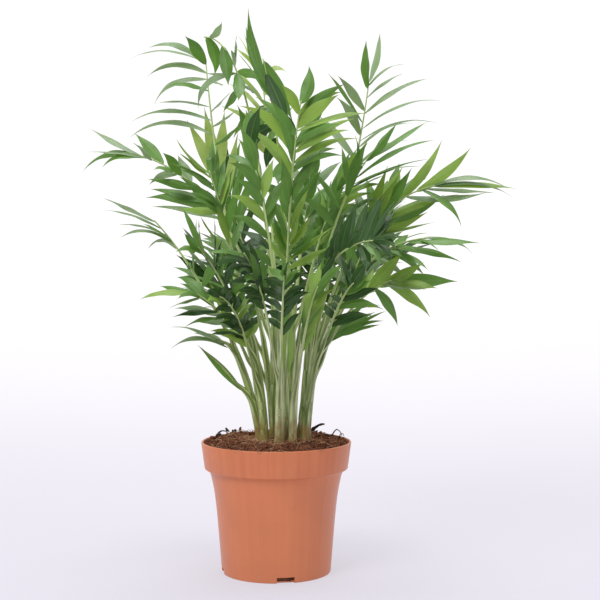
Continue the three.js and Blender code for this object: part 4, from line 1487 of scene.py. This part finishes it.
def add_lamp(name, place, across, power):
    data = bpy.data.lights.new(name, "AREA")
    data.shape = "SQUARE"
    data.size = across
    data.energy = power
    lamp = bpy.data.objects.new(name, data)
    lamp.location = place
    lamp.rotation_euler = (Vector(LIT_PLACE) - Vector(place)).to_track_quat("-Z", "Y").to_euler()
    bpy.context.scene.collection.objects.link(lamp)


def make_stage(size):
    make_camera()
    make_backdrop(size)
    for name, (place, across) in LAMPS.items():
        add_lamp(f"{name} light", place, across, getattr(size, f"{name}_power"))
    world = bpy.data.worlds.new("studio")
    world.use_nodes = True
    sky = world.node_tree.nodes["Background"]
    sky.inputs["Color"].default_value = SKY
    sky.inputs["Strength"].default_value = size.sky_strength
    bpy.context.scene.world = world
    bpy.context.scene.view_settings.view_transform = "Standard"


# ---------------------------------------------------------------- settings


def colour_setting(name, description, default):
    return bpy.props.FloatVectorProperty(
        name=name, description=description, default=default, size=4, min=0.0, max=1.0, subtype="COLOR"
    )


def count_setting(name, description, default):
    return bpy.props.IntProperty(name=name, description=description, default=default, min=0)


def number_setting(name, description, default, **limits):
    return bpy.props.FloatProperty(name=name, description=description, default=default, min=0.0, **limits)


def length_setting(name, description, default):
    return number_setting(name, description, default, precision=4, subtype="DISTANCE", unit="LENGTH")


class PotSettings(bpy.types.PropertyGroup):
    rim_radius: length_setting("Rim radius", "Outside radius of the pot's lip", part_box("pot")[1][0])
    height: length_setting("Height", "Height of the pot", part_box("pot")[1][2])
    wall_thickness: length_setting("Wall", "Thickness of the pot's wall", 0.0016)
    colour: colour_setting("Plastic", "Colour of the moulded plastic", srgb(206, 122, 80))


class SoilSettings(bpy.types.PropertyGroup):
    relief: length_setting("Relief", "How uneven the soil's top is", 0.0036)
    crumbs: count_setting("Crumbs", "Number of loose crumbs", 1500)
    chips: count_setting("Bark", "Number of bark chips", 60)
    fibres: count_setting("Fibres", "Number of curly fibres", 900)
    colour: colour_setting("Soil", "Colour of the soil", srgb(134, 82, 60))


class StemSettings(bpy.types.PropertyGroup):
    colour: colour_setting("Skin", "Colour of most stems above the soil", srgb(160, 184, 84))
    pale: colour_setting("Pale", "Colour of the paler stems", srgb(228, 236, 186))
    # Painted shade: the darker grey-green of the stems on the clump's right.
    grey: colour_setting("Grey", "Colour of the greyer stems", srgb(132, 152, 94))
    petiole: colour_setting("Petiole", "Colour of petioles and ribs", srgb(190, 214, 136))
    foot_colour: colour_setting("Foot", "Colour of a stem where it meets the soil", srgb(148, 114, 62))


class FrondSettings(bpy.types.PropertyGroup):
    seed: count_setting("Seed", "Changes how the leaflets fall", 5)
    leaf_width: number_setting("Leaf width", "Widens every leaflet", 1.0, max=2.0, subtype="FACTOR")
    # Painted shade: the tone of leaves in the shade inside and under the crown.
    deep: colour_setting("Deep", "Tone of the older leaves inside the crown", srgb(40, 76, 34))
    mid: colour_setting("Mid", "Tone of most leaves", srgb(88, 132, 58))
    # Painted light: the tone of leaves where the lamps fall most.
    bright: colour_setting("Bright", "Tone of young leaves in the light", srgb(126, 162, 72))
    # Painted sheen: a greyed tone for leaves seen edge on, where they would reflect the bright studio.
    grey: colour_setting("Grey", "Tone of leaves with a dull bloom", srgb(120, 148, 110))
    # Painted light: a paler tone for leaves lit through from behind by the bright wall.
    pale: colour_setting("Pale", "Tone of thin leaves", srgb(158, 186, 110))


class StageSettings(bpy.types.PropertyGroup):
    colour: colour_setting("Backdrop", "Colour of the floor and the wall", srgb(124, 121, 129))
    key_power: number_setting("Key", "Main light", 20.0, unit="POWER")
    fill_power: number_setting("Fill", "Light from the right", 3.0, unit="POWER")
    top_power: number_setting("Top", "Light from above", 23.0, unit="POWER")
    sky_strength: number_setting("Sky", "Light from all round", 0.46, max=2.0, subtype="FACTOR")


# ---------------------------------------------------------------- operators and panel


class PALM_OT_stage(bpy.types.Operator):
    """Set up the camera, the backdrop and the studio lights"""

    bl_idname = "palm.stage"
    bl_label = "Make Stage"

    def execute(self, context):
        make_stage(context.scene.palm_stage)
        return {"FINISHED"}


class PALM_OT_pot(bpy.types.Operator):
    """Turn the nursery pot and cut its drain notches"""

    bl_idname = "palm.pot"
    bl_label = "Make Pot"

    def execute(self, context):
        make_pot(context.scene.palm_pot)
        return {"FINISHED"}


class PALM_OT_soil(bpy.types.Operator):
    """Fill the pot with soil, crumbs, bark and fibres"""

    bl_idname = "palm.soil"
    bl_label = "Make Soil"

    def execute(self, context):
        make_soil(context.scene.palm_soil)
        return {"FINISHED"}


class PALM_OT_stems(bpy.types.Operator):
    """Grow the clump of stems with their old sheaths"""

    bl_idname = "palm.stems"
    bl_label = "Make Stems"

    def execute(self, context):
        make_stems(context.scene.palm_stems)
        return {"FINISHED"}


class PALM_OT_fronds(bpy.types.Operator):
    """Grow each frond's rib and leaflets"""

    bl_idname = "palm.fronds"
    bl_label = "Make Fronds"

    def execute(self, context):
        make_fronds(context.scene.palm_fronds)
        return {"FINISHED"}


PARTS = (
    ("palm_stage", StageSettings, PALM_OT_stage),
    ("palm_pot", PotSettings, PALM_OT_pot),
    ("palm_soil", SoilSettings, PALM_OT_soil),
    ("palm_stems", StemSettings, PALM_OT_stems),
    ("palm_fronds", FrondSettings, PALM_OT_fronds),
)


class VIEW3D_PT_palm(bpy.types.Panel):
    """Lists the palm's settings and operators"""

    bl_idname = "VIEW3D_PT_palm"
    bl_label = "Potted Parlour Palm"
    bl_space_type = "VIEW_3D"
    bl_region_type = "UI"
    bl_category = "Palm"

    def draw(self, context):
        for name, settings, operator in PARTS:
            box = self.layout.box()
            for setting in settings.__annotations__:
                box.prop(getattr(context.scene, name), setting)
            box.operator(operator.bl_idname)


def register():
    for name, settings, operator in PARTS:
        bpy.utils.register_class(settings)
        bpy.utils.register_class(operator)
        setattr(bpy.types.Scene, name, bpy.props.PointerProperty(type=settings))
    bpy.utils.register_class(VIEW3D_PT_palm)


def unregister():
    bpy.utils.unregister_class(VIEW3D_PT_palm)
    for name, settings, operator in reversed(PARTS):
        delattr(bpy.types.Scene, name)
        bpy.utils.unregister_class(operator)
        bpy.utils.unregister_class(settings)


def main():
    register()
    bpy.ops.palm.stage()
    bpy.ops.palm.pot()
    bpy.ops.palm.soil()
    bpy.ops.palm.stems()
    bpy.ops.palm.fronds()


if __name__ == "__main__":
    main()
